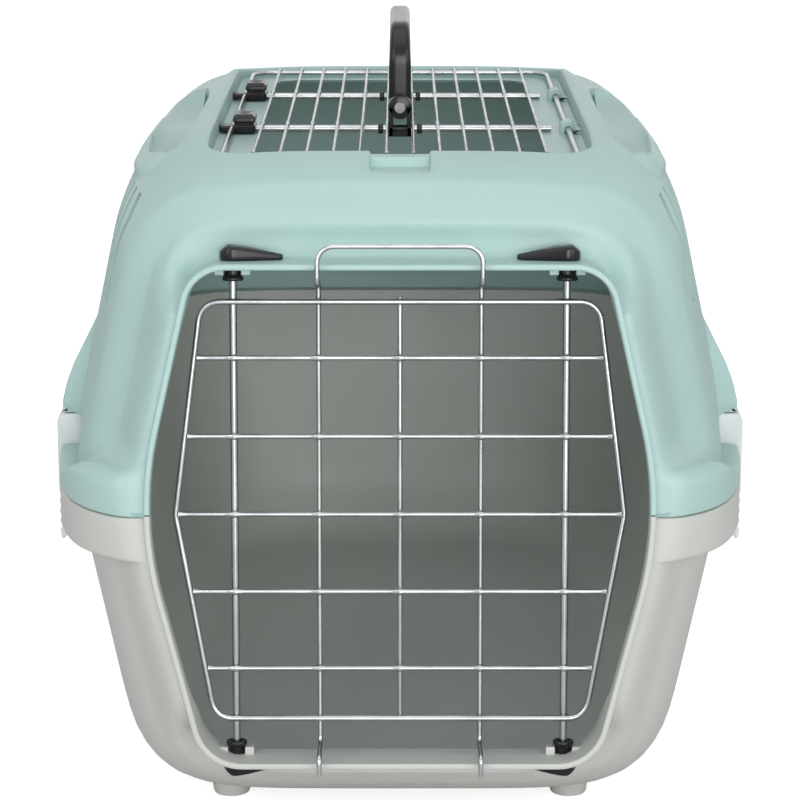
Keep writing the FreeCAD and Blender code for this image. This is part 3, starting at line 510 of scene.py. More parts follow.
def superArc(halfWidth, length, power, xEdge, yEdge):
    # the corner stretch of a superellipse
    turn = np.linspace(math.acos((xEdge / halfWidth) ** (power / 2)),
                       math.asin((yEdge / length) ** (power / 2)), 500)
    line = [halfWidth * np.cos(turn) ** (2 / power), length * np.sin(turn) ** (2 / power)]
    return cornerPoints(np.stack(line, axis=1))


def wholeRing(right):
    # the right half and its mirror image, without the two middle points
    return np.concatenate([right, right[1:-1][::-1] * np.array([-1.0, 1.0])])


def planRing(halfWidth, front, rear, power):
    # |x / half width|^power + |y / length|^power = 1, at the shared stations, from the front middle
    # round the right side to the rear middle and back along the left side
    xEdge = min(60.0, 0.5 * halfWidth)
    yEdge = min(endY, 0.9 * min(front, rear))
    x = frontX * (xEdge / 60.0)
    y = sideAt(yEdge)
    across = (1 - (x / halfWidth) ** power) ** (1 / power)
    sideX = halfWidth * (1 - np.abs(y / np.where(y < 0, front, rear)) ** power) ** (1 / power)
    frontCorner = superArc(halfWidth, front, power, xEdge, yEdge) * np.array([1.0, -1.0])
    rearCorner = superArc(halfWidth, rear, power, xEdge, yEdge)[::-1]
    right = np.concatenate([np.stack([x, -front * across], axis=1), frontCorner, np.stack([sideX, y], axis=1),
                            rearCorner, np.stack([x, rear * across], axis=1)[::-1]])
    return wholeRing(right)


def boxRing(halfWidth, halfLength, corner):
    # a rounded rectangle about the hatch's middle at the same stations
    yEdge = halfLength - corner - 2.0
    bend = [(60.0, -halfLength), (halfWidth, -halfLength), (halfWidth, -yEdge)]
    turnIn = cornerPoints(bentPath(bend, [0, corner, 0], False, 12))
    front = np.stack([frontX, np.full(len(frontX), -halfLength)], axis=1)
    side = np.stack([np.full(len(sideY), halfWidth), sideY * (yEdge / endY)], axis=1)
    flip = np.array([1.0, -1.0])
    right = np.concatenate([front, turnIn, side, turnIn[::-1] * flip, front[::-1] * flip])
    return wholeRing(right) + np.array([0.0, place["hatchY"]])


def coverSizes(z):
    # straight leaning walls, then quarter ellipses over the top; corners get rounder on the way
    side = quarter((z - 290.0) / 50.0)
    end = quarter((z - 280.0) / 60.0)
    up = z - place["split"]
    return (cover["halfWidth"] - 0.213 * up - 28.0 * side, cover["front"] - 0.15 * up - 86.0 * end,
            cover["rear"] - 0.14 * up - 131.0 * end,
            cover["power"] + (cover["topPower"] - cover["power"]) * end)


def outlineShare(flat, z):
    # below 1 inside the cover's outline at that height, above 1 outside
    halfWidth, front, rear, power = coverSizes(z)
    length = np.where(flat[..., 1] < 0, front, rear)
    return np.abs(flat[..., 0] / halfWidth) ** power + np.abs(flat[..., 1] / length) ** power


def roofHeight(flat):
    # the height at which the cover's outline passes through each plan point, by halving
    low = np.full(len(flat), 270.0)
    high = np.full(len(flat), place["roof"])
    for step in range(40):
        middle = (low + high) / 2
        held = outlineShare(flat, middle) < 1
        low, high = np.where(held, middle, low), np.where(held, high, middle)
    return low


def atHeight(ring, z):
    return np.concatenate([ring, np.broadcast_to(np.reshape(z, (-1, 1)), (len(ring), 1))], axis=1)


def rimRing(inset, z):
    return atHeight(planRing(cover["rimHalf"] - inset, cover["rimFront"] - inset, cover["rimRear"] - inset,
                             cover["rimPower"]), z)


def coverRing(z):
    return atHeight(planRing(*coverSizes(z)), z)


def coverRows():
    # rim, round shoulder, hollow fillet, wall, roof rounding, tray edge, tray wall, ledge
    split, top, shoulder = place["split"], cover["rimTop"], cover["shoulder"]
    rows = [rimRing(1.8, split + 0.35), rimRing(0.6, split + 0.4), rimRing(0.15, split + 0.7),
            rimRing(0.0, split + 1.3), rimRing(0.0, cover["rimLevel"]), rimRing(0.0, 180.0),
            rimRing(0.0, top - shoulder)]
    turns = np.linspace(0, math.pi / 2, 7)[1:]
    rows += [rimRing(shoulder * (1 - math.cos(t)), top - shoulder + shoulder * math.sin(t)) for t in turns]
    edge, corner, foot = rows[-1], coverRing(top + 0.4), coverRing(cover["foot"])
    for t in (0.2, 0.4, 0.6, 0.8):
        rows.append((1 - t) ** 2 * edge + 2 * t * (1 - t) * corner + t * t * foot)
    heights = [[cover["foot"], 202.0], np.arange(206, 247, 4.0), [250.0, 256.0, 262.0],
               np.arange(268, 287, 6.0), np.arange(288, 305, 2.0)]
    rows += [coverRing(z) for z in np.concatenate(heights)]
    base = rows[-1][:, :2]
    rim = cover["trayEdge"]
    tray = boxRing(cover["trayHalf"] + rim, cover["trayLong"] + rim, cover["trayCorner"] + rim)
    for t in roofShares:
        flat = base * (1 - t) + tray * t
        rows.append(atHeight(flat, roofHeight(flat)))
    height = rows[-1][:, 2]
    for t in np.linspace(0, math.pi / 2, 5)[1:]:
        grow = rim * (1 - math.sin(t))
        flat = boxRing(cover["trayHalf"] + grow, cover["trayLong"] + grow, cover["trayCorner"] + grow)
        rows.append(atHeight(flat, height - rim * (1 - math.cos(t))))
    ledge = place["ledge"]
    rows.append(atHeight(rows[-1][:, :2], ledge + 1.6))
    for inset, z in ((0.45, ledge + 0.45), (1.6, ledge)):
        rows.append(atHeight(boxRing(cover["trayHalf"] - inset, cover["trayLong"] - inset,
                                     cover["trayCorner"] - inset), z))
    floor = rows[-1][:, :2]
    hole = boxRing(cover["openHalf"], cover["openLong"], cover["openCorner"])
    rows += [atHeight(floor * (1 - t) + hole * t, ledge) for t in (0.35, 0.7, 0.97)]
    rows.append(atHeight(hole, ledge - 0.7))
    return np.array(rows)


def surfaceNormal(pts):
    # across a ring, crossed with the way from ring to ring
    across = np.roll(pts, -1, axis=1) - np.roll(pts, 1, axis=1)
    return unit(np.cross(across, np.gradient(pts, axis=0)))


def sideForms(pts):
    # low rim between the ends and the clips, open bays for the clips, humps leaning back above them
    x, y, z = np.abs(pts[..., 0]), pts[..., 1], pts[..., 2]
    side = (x > 120) & (z < 255)
    off = np.abs(np.abs(y) - cover["bayY"])
    top, level, foot, sideTop = cover["rimTop"], cover["rimLevel"], cover["foot"], cover["sideTop"]
    low = smoothStep(*cover["endRun"], np.abs(y)) * side * (off > cover["bayHalf"])
    lowered = np.where(z < top + 0.01, level + (z - level) * (sideTop - level) / (top - level),
                       sideTop + (z - top) * (foot - sideTop) / (foot - top))
    newZ = np.where((z > level) & (z < foot), z + (lowered - z) * low, z)
    halfWidth, front, rear, power = coverSizes(newZ)
    reach = np.minimum(np.abs(y / np.where(y < 0, front, rear)), 0.99)
    wallX = halfWidth * (1 - reach ** power) ** (1 / power)
    wallX = np.where(np.abs(y) > cover["bayY"], np.minimum(wallX, cover["besideClip"]), wallX)
    newX = np.where((low > 0) & (z > level) & (z < foot), np.maximum(x, x + (wallX - x) * low), x)
    setBack = (low > 0) & (np.abs(y) > cover["bayY"]) & (z > top - 0.01)
    newX = np.where(setBack, np.minimum(newX, cover["besideClip"]), newX)
    hump = side & (z > top - 0.01)
    share = smoothStep(cover["humpHalf"] + 0.8, cover["humpHalf"] - 2.6, off) * hump
    humpX = np.maximum(np.interp(z, humpLine[:, 0], humpLine[:, 1]), np.where(z > foot, x, 0.0))
    humpZ = np.where(z < foot, cover["humpLow"] + (z - top) * (foot - cover["humpLow"]) / (foot - top), z)
    share = np.where((off > cover["bayHalf"]) & (z < foot - 0.01), 0.0, share)
    newX = newX * (1 - share) + humpX * share
    newZ = newZ * (1 - share) + humpZ * share
    inBay = side & (off < cover["bayHalf"]) & (z > place["split"] + 1.0) & (z < top + 0.01)
    newX = np.where(inBay, np.minimum(newX, cover["bayFace"]), newX)
    newZ = np.where(inBay & (z > top - 0.01), cover["humpLow"] - 0.1, newZ)
    return np.stack([np.sign(pts[..., 0]) * newX, y, newZ], axis=-1)


coverPts = coverRows()
ringZ = coverPts[:, len(frontX) + cornerCount + len(sideY) // 2, 2]
coverPts = sideForms(coverPts)

# front panel: a soft step inside the crease, then the swing out to the lip
front = coverPts[..., 1] < -120
archLine = np.concatenate([creaseArch, creaseArch[::-1][1:] * np.array([-1.0, 1.0])])
away, inside = lineDistance(coverPts[..., [0, 2]], archLine, True)
step = cover["crease"] * (1 - np.exp(-np.where(inside, away, 0.0) / cover["creaseRun"]))
z = coverPts[..., 2]
step = step * front * smoothStep(194, 204, z) * (1 - 0.6 * smoothStep(285, 320, z))
coverPts -= surfaceNormal(coverPts) * step[..., None]
front = front & (coverPts[..., 2] < 332)
coverPts = np.where(front[..., None], flareToLip(coverPts), coverPts)

# shoulder grips: the shoulder falls away behind them; a raised pad with a tongue to the front corner, then
# a canoe-shaped bowl pressed in: its floor is a superellipse across, shrinking to nothing at both ends
grip = {"x": 119.2, "z": 340.5, "dip": 6.0, "y": -54.0, "half": 99.0, "radius": 12.4, "soft": 0.8,
        "pad": 15.0, "padHigh": 2.8, "fall": 4.6, "slotX": (105.0, 112.0), "slotY": (2.0, 34.0),
        "slotZ": (330.0, 338.0)}
spine = np.array([(128.0, -40.0, 334.0), (130.0, -105.0, 331.0), (125.0, -152.0, 325.0)])
x, y, z = np.abs(coverPts[..., 0]), coverPts[..., 1], coverPts[..., 2]
behind = smoothStep(12, 80, y) * smoothStep(172, 132, y)
z = z - grip["fall"] * behind * smoothStep(99, 110, x) * smoothStep(296, 320, z)
coverPts[..., 2] = z
onRoof = (x > 101.5) & (z > 296)
along = np.clip(np.abs(y - grip["y"]) / grip["half"], 0, 1)
hollow = grip["radius"] * (1 - along ** 5.0) ** (1 / 2.2)
toSpine = lineDistance(np.stack([x, y, z], axis=-1), spine, False)[0]
pad = grip["padHigh"] * smoothStep(-2.2, 2.2, grip["pad"] - 6.0 * smoothStep(-112, -160, y) - toSpine)
pad = pad * smoothStep(108, 122, x) * smoothStep(60, -95, y)
coverPts += surfaceNormal(coverPts) * (pad * onRoof)[..., None]
across = np.clip(np.abs(np.abs(coverPts[..., 0]) - grip["x"]) / np.maximum(hollow, 0.01), 0, 1)
z = coverPts[..., 2]
bowl = grip["z"] - grip["dip"] * smoothStep(-60, -150, y) - hollow * (1 - across ** 3) ** (1 / 3)
blend = np.clip(0.5 + 0.5 * (z - bowl) / grip["soft"], 0, 1)
pressed = z * (1 - blend) + bowl * blend - grip["soft"] * blend * (1 - blend)
coverPts[..., 2] = np.where(onRoof & (across < 1), np.minimum(pressed, z), z)

# finger notch: a pocket in front of the tray, with a thin lip left standing
x, y, z = coverPts[..., 0], coverPts[..., 1], coverPts[..., 2]
pocket = cover["notchFloor"] + cover["notchLip"] * smoothStep(cover["notchY"], cover["notchY"] + 3.5, y)
notch = (np.abs(x) < cover["notchHalf"]) & (y < -176)
coverPts[..., 2] = np.where(notch, np.minimum(z, pocket), z)

# open quads: vent slots in the sides, a belt slot in each grip, the ends of the clip bays
def quadMiddle(values):
    # the mean of each quad's four corners
    pair = values + np.roll(values, -1, axis=1)
    return (pair[:-1] + pair[1:]) / 4


def within(values, limits):
    return (values > limits[0]) & (values < limits[1])


inVent = (ringZ[:-1] > cover["ventLow"] - 0.1) & (ringZ[1:] < cover["ventHigh"] + 0.1)
midPts, midPad = quadMiddle(coverPts), quadMiddle(pad)
midX, midY, midZ = np.abs(midPts[..., 0]), midPts[..., 1], midPts[..., 2]
half = cover["ventPitch"] / 2
ventRow = int(np.argmax(ringZ > cover["ventLow"]))
ventY = midY[ventRow] - cover["ventFirst"] + half
inSlot = (np.abs(ventY % cover["ventPitch"] - half) < cover["ventHalf"]) & (midX[ventRow] > 100)
inSlot &= (ventY > 0) & (ventY < cover["ventPitch"] * cover["vents"])
slots = inVent[:, None] & inSlot[None, :] & (midPad < 0.9)
belt = within(midX, grip["slotX"]) & within(midY, grip["slotY"]) & within(midZ, grip["slotZ"])
inBay = np.abs(np.abs(coverPts[0, :, 1]) - cover["bayY"]) < cover["bayHalf"]
bayEnd = (inBay != np.roll(inBay, -1)) & (np.abs(coverPts[0, :, 0]) > 120)
bayRows = (ringZ[:-1] > cover["rimLevel"] - 0.1) & (ringZ[1:] < cover["foot"] + 0.1)
openQuads = slots | belt | (bayRows[:, None] & bayEnd[None, :])
coverPiece = makeObject("upper_cover_skin", [ringsPart(coverPts, keep=~openQuads)], closed=False)
thick = coverPiece.modifiers.new("wall", "SOLIDIFY")
thick.thickness = cover["wall"] * 0.001
thick.offset = -1.0
thick.use_even_offset = False
applyModifiers(coverPiece)
nosePocket = {"halfX": 4.4, "halfY": 5.6, "corner": 0.8, "middleX": -98.6, "low": 329.3, "high": 333.7}
pocket = stackPart(roundedBox(nosePocket["halfX"], nosePocket["halfY"], nosePocket["corner"]),
                   [(0.0, nosePocket["low"]), (0.0, nosePocket["high"])])
cutters = [openingPrism("door_cut")]
for rodY in place["rods"]:
    cutters.append(makeObject("nose_pocket", [moved(pocket, (nosePocket["middleX"], rodY, 0.0))]))
carve(coverPiece, cutters)
finishPiece(coverPiece, "mint_shell", "shell", "upper_cover", 42)

# lower tub
print("lower tub")
tub = {"halfWidth": 171.3, "front": 265.0, "rear": 268.0, "power": 5.6, "floor": 9.0, "wall": 2.5,
       "rimLow": 148.0, "tongue": 2.4, "footX": 88.0, "footY": 190.0, "footRadius": 10.5, "footHigh": 11.4}


def tubSizes(z, inset=0.0):
    # leaning walls that turn under in quarter ellipses, sooner at the front
    down = place["split"] - z
    turn = quarter((49.0 - z) / 40.0)
    under = quarter((68.0 - z) / 59.0)
    return (tub["halfWidth"] - 0.21 * down - 20.0 * turn - inset,
            tub["front"] - 0.02 * down - 66.0 * under - inset,
            tub["rear"] - 0.12 * down - 34.0 * turn - inset, tub["power"])


def tubRing(z, inset=0.0):
    return atHeight(planRing(*tubSizes(z, inset)), z + inset)


def tubRows():
    # outer floor, bottom rounding, wall, groove, skirt, split face, tongue, inner wall, inner floor
    floor, split, low = tub["floor"], place["split"], tub["rimLow"]
    turns = np.sin(np.linspace(0, math.pi / 2, 9))[::-1]
    heights = [49.0 - 40.0 * t for t in turns]
    flat = tubRing(floor)
    rows = [flat * np.array([k, k, 1.0]) for k in (0.03, 0.35, 0.65, 0.88)]
    rows += [tubRing(z) for z in heights]
    rows += [tubRing(z) for z in (58, 68, 78, 88, 98, 108, 118, 128, 138, 146, 154, 160, 163)]
    rows += [tubRing(164.2, -0.5), rimRing(2.8, 164.2), rimRing(2.5, 162.0), rimRing(2.5, 152.0)]
    rows += [rimRing(2.4, 149.0), rimRing(1.9, low + 0.3), rimRing(1.2, low + 0.1), rimRing(0.5, low + 0.5),
             rimRing(0.1, low + 1.4), rimRing(0.0, low + 3.0)]
    rows += [rimRing(0.0, z) for z in (155.0, 162.0, split - 1.3)]
    rows += [rimRing(0.2, split - 0.7), rimRing(0.7, split - 0.4), rimRing(3.0, split - 0.35)]
    inner = tub["wall"]
    rows.append(rimRing(3.4, split + tub["tongue"]))
    outerCount = len(rows)
    rows.append(atHeight(planRing(*tubSizes(split, inner)), split + tub["tongue"]))
    rows += [tubRing(z, inner) for z in (163, 154, 146, 138, 128, 118, 108, 98, 88, 78, 68, 58)]
    rows += [tubRing(z, inner) for z in heights[::-1]]
    rows += [tubRing(floor, inner) * np.array([k, k, 1.0]) for k in (0.88, 0.65, 0.35, 0.03)]
    return np.array(rows), outerCount


tubPts, outerCount = tubRows()
off = np.abs(np.abs(tubPts[..., 1]) - cover["bayY"])
noTongue = ((off < 30) | (tubPts[..., 1] < -190)) & (tubPts[..., 2] > place["split"])
tubPts[..., 2] = np.where(noTongue, place["split"] - 0.35, tubPts[..., 2])
inBay = (off < cover["bayHalf"]) & (tubPts[..., 2] > 147) & (np.abs(tubPts[..., 0]) > 150)
tubFace = np.where(tubPts[..., 2] > 165, 173.6, 173.2)
x = tubPts[..., 0]
tubPts[..., 0] = np.where(inBay, np.sign(x) * np.minimum(np.abs(x), tubFace), x)
outerRows = np.arange(len(tubPts)) < outerCount
front = (tubPts[..., 1] < -120) & outerRows[:, None] & (tubPts[..., 2] > 20)
tubPts = np.where(front[..., None], flareToLip(tubPts), tubPts)
tubPiece = makeObject("lower_tub_skin", [ringsPart(tubPts, caps=True)])
carve(tubPiece, [openingPrism("tub_cut")])
finishPiece(tubPiece, "grey_shell", "shell", "lower_tub", 42)
r, tall = tub["footRadius"], tub["footHigh"]
foot = lathePart([(0.01, 0.0), (r - 2.4, 0.0), (r - 1.4, 0.3), (r - 1.0, 1.2), (r - 0.5, 5.0),
                  (r, tall - 1.8), (r + 1.5, tall), (0.01, tall)], 36, False)
feet = [moved(foot, (sx * tub["footX"], sy * tub["footY"], 0.0)) for sx in (-1, 1) for sy in (-1, 1)]
makePiece("tub_feet", feet, "grey_shell", "shell", "lower_tub")

# door lip, one half on each shell
print("door lip")
lip = {"width": 3.0, "bead": 1.05, "gap": 0.35, "sideBack": -8.0}


def lipHalf(upper):
    # a rounded band carried along the opening's outline; the profile is (away from the opening, depth)
    line = openingLine(0.0, 1.0)
    split = lip["gap"] if upper else -lip["gap"]
    chosen = line[:, 1] > split if upper else line[:, 1] < split
    start = int(np.argmax(chosen & ~np.roll(chosen, 1)))
    line = np.roll(line, -start, axis=0)[:int(chosen.sum())]
    ahead = np.gradient(line, axis=0)
    out = unit(np.stack([-ahead[:, 1], ahead[:, 0]], axis=1))
    front, back, bead, width = -opening["ahead"], opening["behind"], lip["bead"], lip["width"]
    turn = np.linspace(0, math.pi / 2, 6)
    inner = np.stack([bead - bead * np.cos(turn), front + bead - bead * np.sin(turn)], axis=1)
    outer = np.stack([width - bead + bead * np.sin(turn), front + bead - bead * np.cos(turn)], axis=1)
    cove = [(width, front + 4.0), (width + 0.2, 5.0), (width + 0.7, 8.0), (width + 1.8, 9.9),
            (width + 3.4, 10.8), (width + 4.6, back)]
    profile = np.concatenate([[(0.0, back)], inner, outer, cove])
    full = smoothStep(84, 112, np.abs(line[:, 1]))[:, None]
    shallow = np.minimum(profile[None, :, 1], lip["sideBack"] + 0.02 * profile[None, :, 1])
    depth = shallow + (profile[None, :, 1] - shallow) * full
    pts = np.stack([line[:, None, 0] + out[:, None, 0] * profile[None, :, 0], depth,
                    line[:, None, 1] + out[:, None, 1] * profile[None, :, 0]], axis=-1)
    pts[0, :, 2] = split
    pts[-1, :, 2] = split
    return ringsPart(onDoor(pts), caps=True)


makePiece("lip_upper", [lipHalf(True)], "mint_shell", "shell", "upper_cover")
makePiece("lip_lower", [lipHalf(False)], "grey_shell", "shell", "lower_tub")

# seats of the bushes: a U-shaped collar open to the front, sunk a little into the lip
seat = {"inner": 4.3, "outer": 8.6, "height": 3.8, "front": -3.0, "edge": 0.24, "edgeHigh": 0.4, "sunk": 1.0}
lipTop, lipBottom = opening["corners"][0][1], opening["corners"][2][1]
lipEnds = ((1, "top", lipTop), (-1, "bottom", lipBottom))


def seatOutline():
    # a half circle outside and one inside, both run straight to the front
    turn = np.linspace(0, math.pi, 17)
    arc = np.stack([np.cos(turn), np.sin(turn)], axis=1)
    outer, inner, front = seat["outer"], seat["inner"], seat["front"]
    return np.concatenate([[(outer, front)], outer * arc, [(-outer, front), (-inner, front)],
                           inner * arc[::-1], [(inner, front)]])


tall, edge, edgeHigh = seat["height"] + seat["sunk"], seat["edge"], seat["edgeHigh"]
hanging = stackPart(seatOutline(), [(edge, 0.0), (0.0, edgeHigh), (0.0, tall)])
standing = stackPart(seatOutline(), [(0.0, 0.0), (0.0, tall - edgeHigh), (edge, tall)])
for level, block, base, slotName, node in (
        ("top", hanging, lipTop - seat["height"], "mint_shell", "upper_cover"),
        ("bottom", standing, lipBottom - seat["sunk"], "grey_shell", "lower_tub")):
    parts = [leaned(block, (sx * place["rodX"], place["rodDepth"], base)) for sx in (-1, 1)]
    makePiece("bush_seats_" + level, parts, slotName, "shell", node, 30)

# door wires
print("door")
door = {"frame": 1.5, "thin": 1.2, "rod": 1.9, "corners": [(96.5, 102.3), (109.8, -2.5), (91.5, -104.9)],
        "rounds": [10, 12, 10], "crossCount": 5, "crossPitch": 38.6, "crossMiddle": -2.3, "crossShort": 1.4,
        "upright": 2.75, "uprightPast": 2.0, "rodLow": -120.0, "rodHigh": 115.4, "loopX": 39.5,
        "loopFront": -20.5, "loopHigh": 112.0, "loopTop": 131.0, "loopLow": -118.5, "loopTip": -128.6,
        "loopBend": 4, "loopCorner": 8, "weld": 0.55, "weldRun": 1.7}


def swollen(at, places, radius):
    # a wire swells where it is welded to another
    swell = np.exp(-((at[:, None] - np.array(places)[None, :]) / door["weldRun"]) ** 2).max(axis=1)
    return radius + door["weld"] * swell


def doorWire(name, parts, node):
    makePiece(name, [leaned(part) for part in parts], "bright_wire", "door", node)


right = [(x, 0.0, w) for x, w in door["corners"]]
left = [(-x, 0.0, w) for x, w in door["corners"][::-1]]
path = evenPath(bentPath(right + left, door["rounds"] + door["rounds"][::-1], True, 9), 2.2, True)
doorWire("door_frame_wire_bent", [tubePart(path, door["frame"], 14, True)], "door_frame_wire")
parts = []
frameSide = np.array(door["corners"][::-1])
for k in range(door["crossCount"]):
    w = door["crossMiddle"] + door["crossPitch"] * (k - (door["crossCount"] - 1) / 2)
    half = np.interp(w, frameSide[:, 1], frameSide[:, 0]) - door["crossShort"]
    at = np.linspace(-half, half, 150)
    path = np.stack([at, np.zeros(150), np.full(150, w)], axis=1)
    welds = [-half, -place["rodX"], -door["loopX"], 0, door["loopX"], place["rodX"], half]
    parts.append(tubePart(path, swollen(at, welds, door["thin"]), 12))
doorWire("door_cross_wires_welded", parts, "door_cross_wires")
low, high = frameSide[0, 1] - door["uprightPast"], frameSide[-1, 1] + door["uprightPast"]
path = np.array([(0.0, door["upright"], w) for w in (low, 0.0, high)])
doorWire("door_centre_upright", [tubePart(path, door["thin"], 14)], "door_centre_wire")
x, back, ahead, bend = door["loopX"], door["upright"], door["loopFront"], door["loopBend"]
half = [(x, ahead, door["loopTip"]), (x, ahead, door["loopLow"]), (x, back, door["loopLow"]),
        (x, back, door["loopHigh"]), (x, ahead, door["loopHigh"]), (x, ahead, door["loopTop"])]
bends = [0, bend, bend, bend, bend, door["loopCorner"]]
path = bentPath(half + [(-px, v, w) for px, v, w in half[::-1]], bends + bends[::-1], False, 9)
doorWire("door_loop_bent", [tubePart(path, door["thin"], 14)], "door_loop_wire")
for sx, side in sides:
    path = np.array([(sx * place["rodX"], place["rodDepth"], w)
                     for w in (door["rodLow"], -60.0, 0.0, 60.0, door["rodHigh"])])
    doorWire("door_rod_drawn_" + side, [tubePart(path, door["rod"], 18)], "door_rod_" + side)

# bushes on the door rods
bush = {"radius": 3.7, "flange": 5.2, "flangeHigh": 1.6, "length": 6.4, "bore": 1.97, "stem": 2.12,
        "stemDeep": 3.0, "funnel": 1.2, "gap": 0.3}
r, f, n, e = bush["radius"], bush["flange"], bush["length"], bush["flangeHigh"]
bore, stem, deep, funnel = bush["bore"], bush["stem"], bush["stemDeep"], bush["funnel"]
turned = lathePart([(stem, 0.0), (r - 0.5, 0.0), (r - 0.1, 0.2), (r, 0.6), (r, n - 2 * e),
                    (f - 0.15, n - e - 0.25), (f, n - e + 0.2), (f, n - 0.6), (f - 0.2, n - 0.15),
                    (f - 0.6, n), (bore + 2 * funnel, n), (bore, n - funnel), (bore, deep + 0.1),
                    (stem, deep)], 32)
for sz, level, edge in lipEnds:
    for sx, side in sides:
        part = (turned[0] * np.array([1.0, 1.0, -sz]), turned[1])
        part = leaned(part, (sx * place["rodX"], place["rodDepth"], edge - sz * bush["gap"]))
        name = "door_bush_%s_%s" % (level, side)
        makePiece(name + "_turned", [part], "black_plastic", "door", name, 30)

# lock levers: a teardrop blade that thins toward both ends, on a round stem
print("levers")
lever = {"head": 6.4, "tip": 2.0, "tipReach": 22.4, "height": 7.0, "edge": 1.9, "stem": 2.0, "stemLong": 6.8,
         "stand": 3.5}
teardrop = teardropOutline(lever["head"], lever["tip"], lever["tipReach"], 0.8)
blade = stackPart(teardrop, roundLevels(0.0, lever["height"], 0.5, lever["edge"], 5))
x = blade[0][:, 0]
blade[0][:, 2] *= 1 - 0.62 * smoothStep(-2.0, 27.0, x) - 0.4 * smoothStep(-1.5, -8.0, x)
r, deep = lever["stem"], lever["stemLong"]
stem = lathePart([(0.01, -deep), (r - 0.4, -deep), (r, 0.4 - deep), (r, 1.0), (0.01, 1.0)], 24, False)
for sz, level, edge in lipEnds:
    for sx, side in sides:
        name = "%s_%s" % (level, side)
        at = (sx * place["rodX"], place["rodDepth"], edge + sz * lever["stand"])
        parts = [leaned((points * np.array([-sx, 1.0, sz]), faces), at) for points, faces in (blade, stem)]
        makePiece("lock_lever_%s_moulded" % name, parts, "black_plastic", "lever_" + name,
                  "lock_lever_" + name, 40)

# roof hatch
print("hatch")
hatch = {"halfWidth": 90.0, "halfLength": 166.0, "corner": 14.0, "frame": 1.5, "frameZ": 331.6, "wire": 0.8,
         "wireZ": 333.95, "wires": 12, "pitch": 13.4, "rod": 1.9, "rodZ": 331.2, "rodLeft": -87.0,
         "rodRight": 81.0}


def hatchWire(name, parts, node):
    makePiece(name, parts, "bright_wire", "hatch", node)


front, rear = place["hatchY"] - hatch["halfLength"], place["hatchY"] + hatch["halfLength"]
w, z = hatch["halfWidth"], hatch["frameZ"]
corners = [(w, front, z), (w, rear, z), (-w, rear, z), (-w, front, z)]
path = evenPath(bentPath(corners, [hatch["corner"]] * 4, True, 9), 3.0, True)
hatchWire("hatch_frame_bent", [tubePart(path, hatch["frame"], 14, True)], "hatch_frame_wire")
at = np.linspace(front - hatch["frame"], rear + hatch["frame"], 170)
radius = swollen(at, [front, *place["rods"], rear], hatch["wire"])
parts = []
for k in range(hatch["wires"]):
    wireX = hatch["pitch"] * (k - (hatch["wires"] - 1) / 2)
    path = np.stack([np.full(170, wireX), at, np.full(170, hatch["wireZ"])], axis=1)
    parts.append(tubePart(path, radius, 10))
hatchWire("hatch_wires_welded", parts, "hatch_long_wires")
for rodY, end in rodEnds:
    path = np.array([(px, rodY, hatch["rodZ"])
                     for px in (hatch["rodLeft"], -40.0, 0.0, 40.0, hatch["rodRight"])])
    hatchWire("hatch_rod_drawn_" + end, [tubePart(path, hatch["rod"], 18)], "hatch_rod_" + end)

# eyes on the tray's right ledge that the frame turns in
eye = {"halfLong": 6.0, "outer": 4.2, "inner": 1.7, "footX": 7.6, "footTop": -0.4, "low": -3.4}
turn = np.linspace(-0.15 * math.pi, math.pi, 18)
arc = np.stack([np.cos(turn), np.sin(turn)], axis=1)
outer, inner, low = eye["outer"], eye["inner"], eye["low"]
outline = np.concatenate([[(eye["footX"], low), (eye["footX"], eye["footTop"])], outer * arc,
                          [(-outer, low), (-inner, low)], inner * arc[::-1]])
block = stackPart(outline, [(0.0, -eye["halfLong"]), (0.0, eye["halfLong"])])
parts = [alongY(block, (hatch["halfWidth"], rodY, hatch["frameZ"])) for rodY in place["rods"]]
makePiece("hatch_eyes", parts, "mint_shell", "shell", "upper_cover", 30)

# thumb sliders: a waisted cap with a dished top, and a nose for the tray wall
slider = {"halfX": 6.0, "halfY": 9.0, "middleX": -83.2, "low": 329.8, "high": 339.8, "corner": 1.4,
          "waist": 0.9, "dish": 1.2, "dishX": 3.6, "dishY": 6.0, "noseX": -92.6, "noseHalfX": 4.0,
          "noseHalfY": 5.0, "noseCorner": 0.8, "noseHigh": 3.4}
low, high, waist = slider["low"], slider["high"], slider["waist"]
levels = [(0.5, low), (0.1, low + 0.4), (0.0, low + 0.9), (0.0, low + 3.8), (0.3, low + 4.2),
          (waist, low + 4.6), (waist, low + 5.4), (0.3, low + 5.8), (0.0, low + 6.2), (0.0, high - 1.9),
          (0.25, high - 1.4), (1.5, high - 0.25), (2.0, high)]
outline = evenPath(roundedBox(slider["halfX"], slider["halfY"], slider["corner"]), 0.9, True)
rings = outlineRings(outline, levels)
edge = rings[-1][:, :2]
for k in (0.75, 0.5, 0.25, 0.02):
    flat = edge * k
    dish = 1 - (flat[:, 1] / slider["dishY"]) ** 2 - (flat[:, 0] / slider["dishX"]) ** 2
    rings.append(atHeight(flat, high - slider["dish"] * np.clip(dish, 0, 1)))
cap = ringsPart(rings, caps=True)
outline = evenPath(roundedBox(slider["noseHalfX"], slider["noseHalfY"], slider["noseCorner"]), 0.8, True)
nose = stackPart(outline, roundLevels(low, low + slider["noseHigh"], 0.3, 0.5, 3))
for rodY, end in rodEnds:
    parts = [moved(cap, (slider["middleX"], rodY, 0.0)), moved(nose, (slider["noseX"], rodY, 0.0))]
    makePiece("hatch_slider_%s_moulded" % end, parts, "black_plastic", "slider_" + end,
              "hatch_slider_" + end, 30)

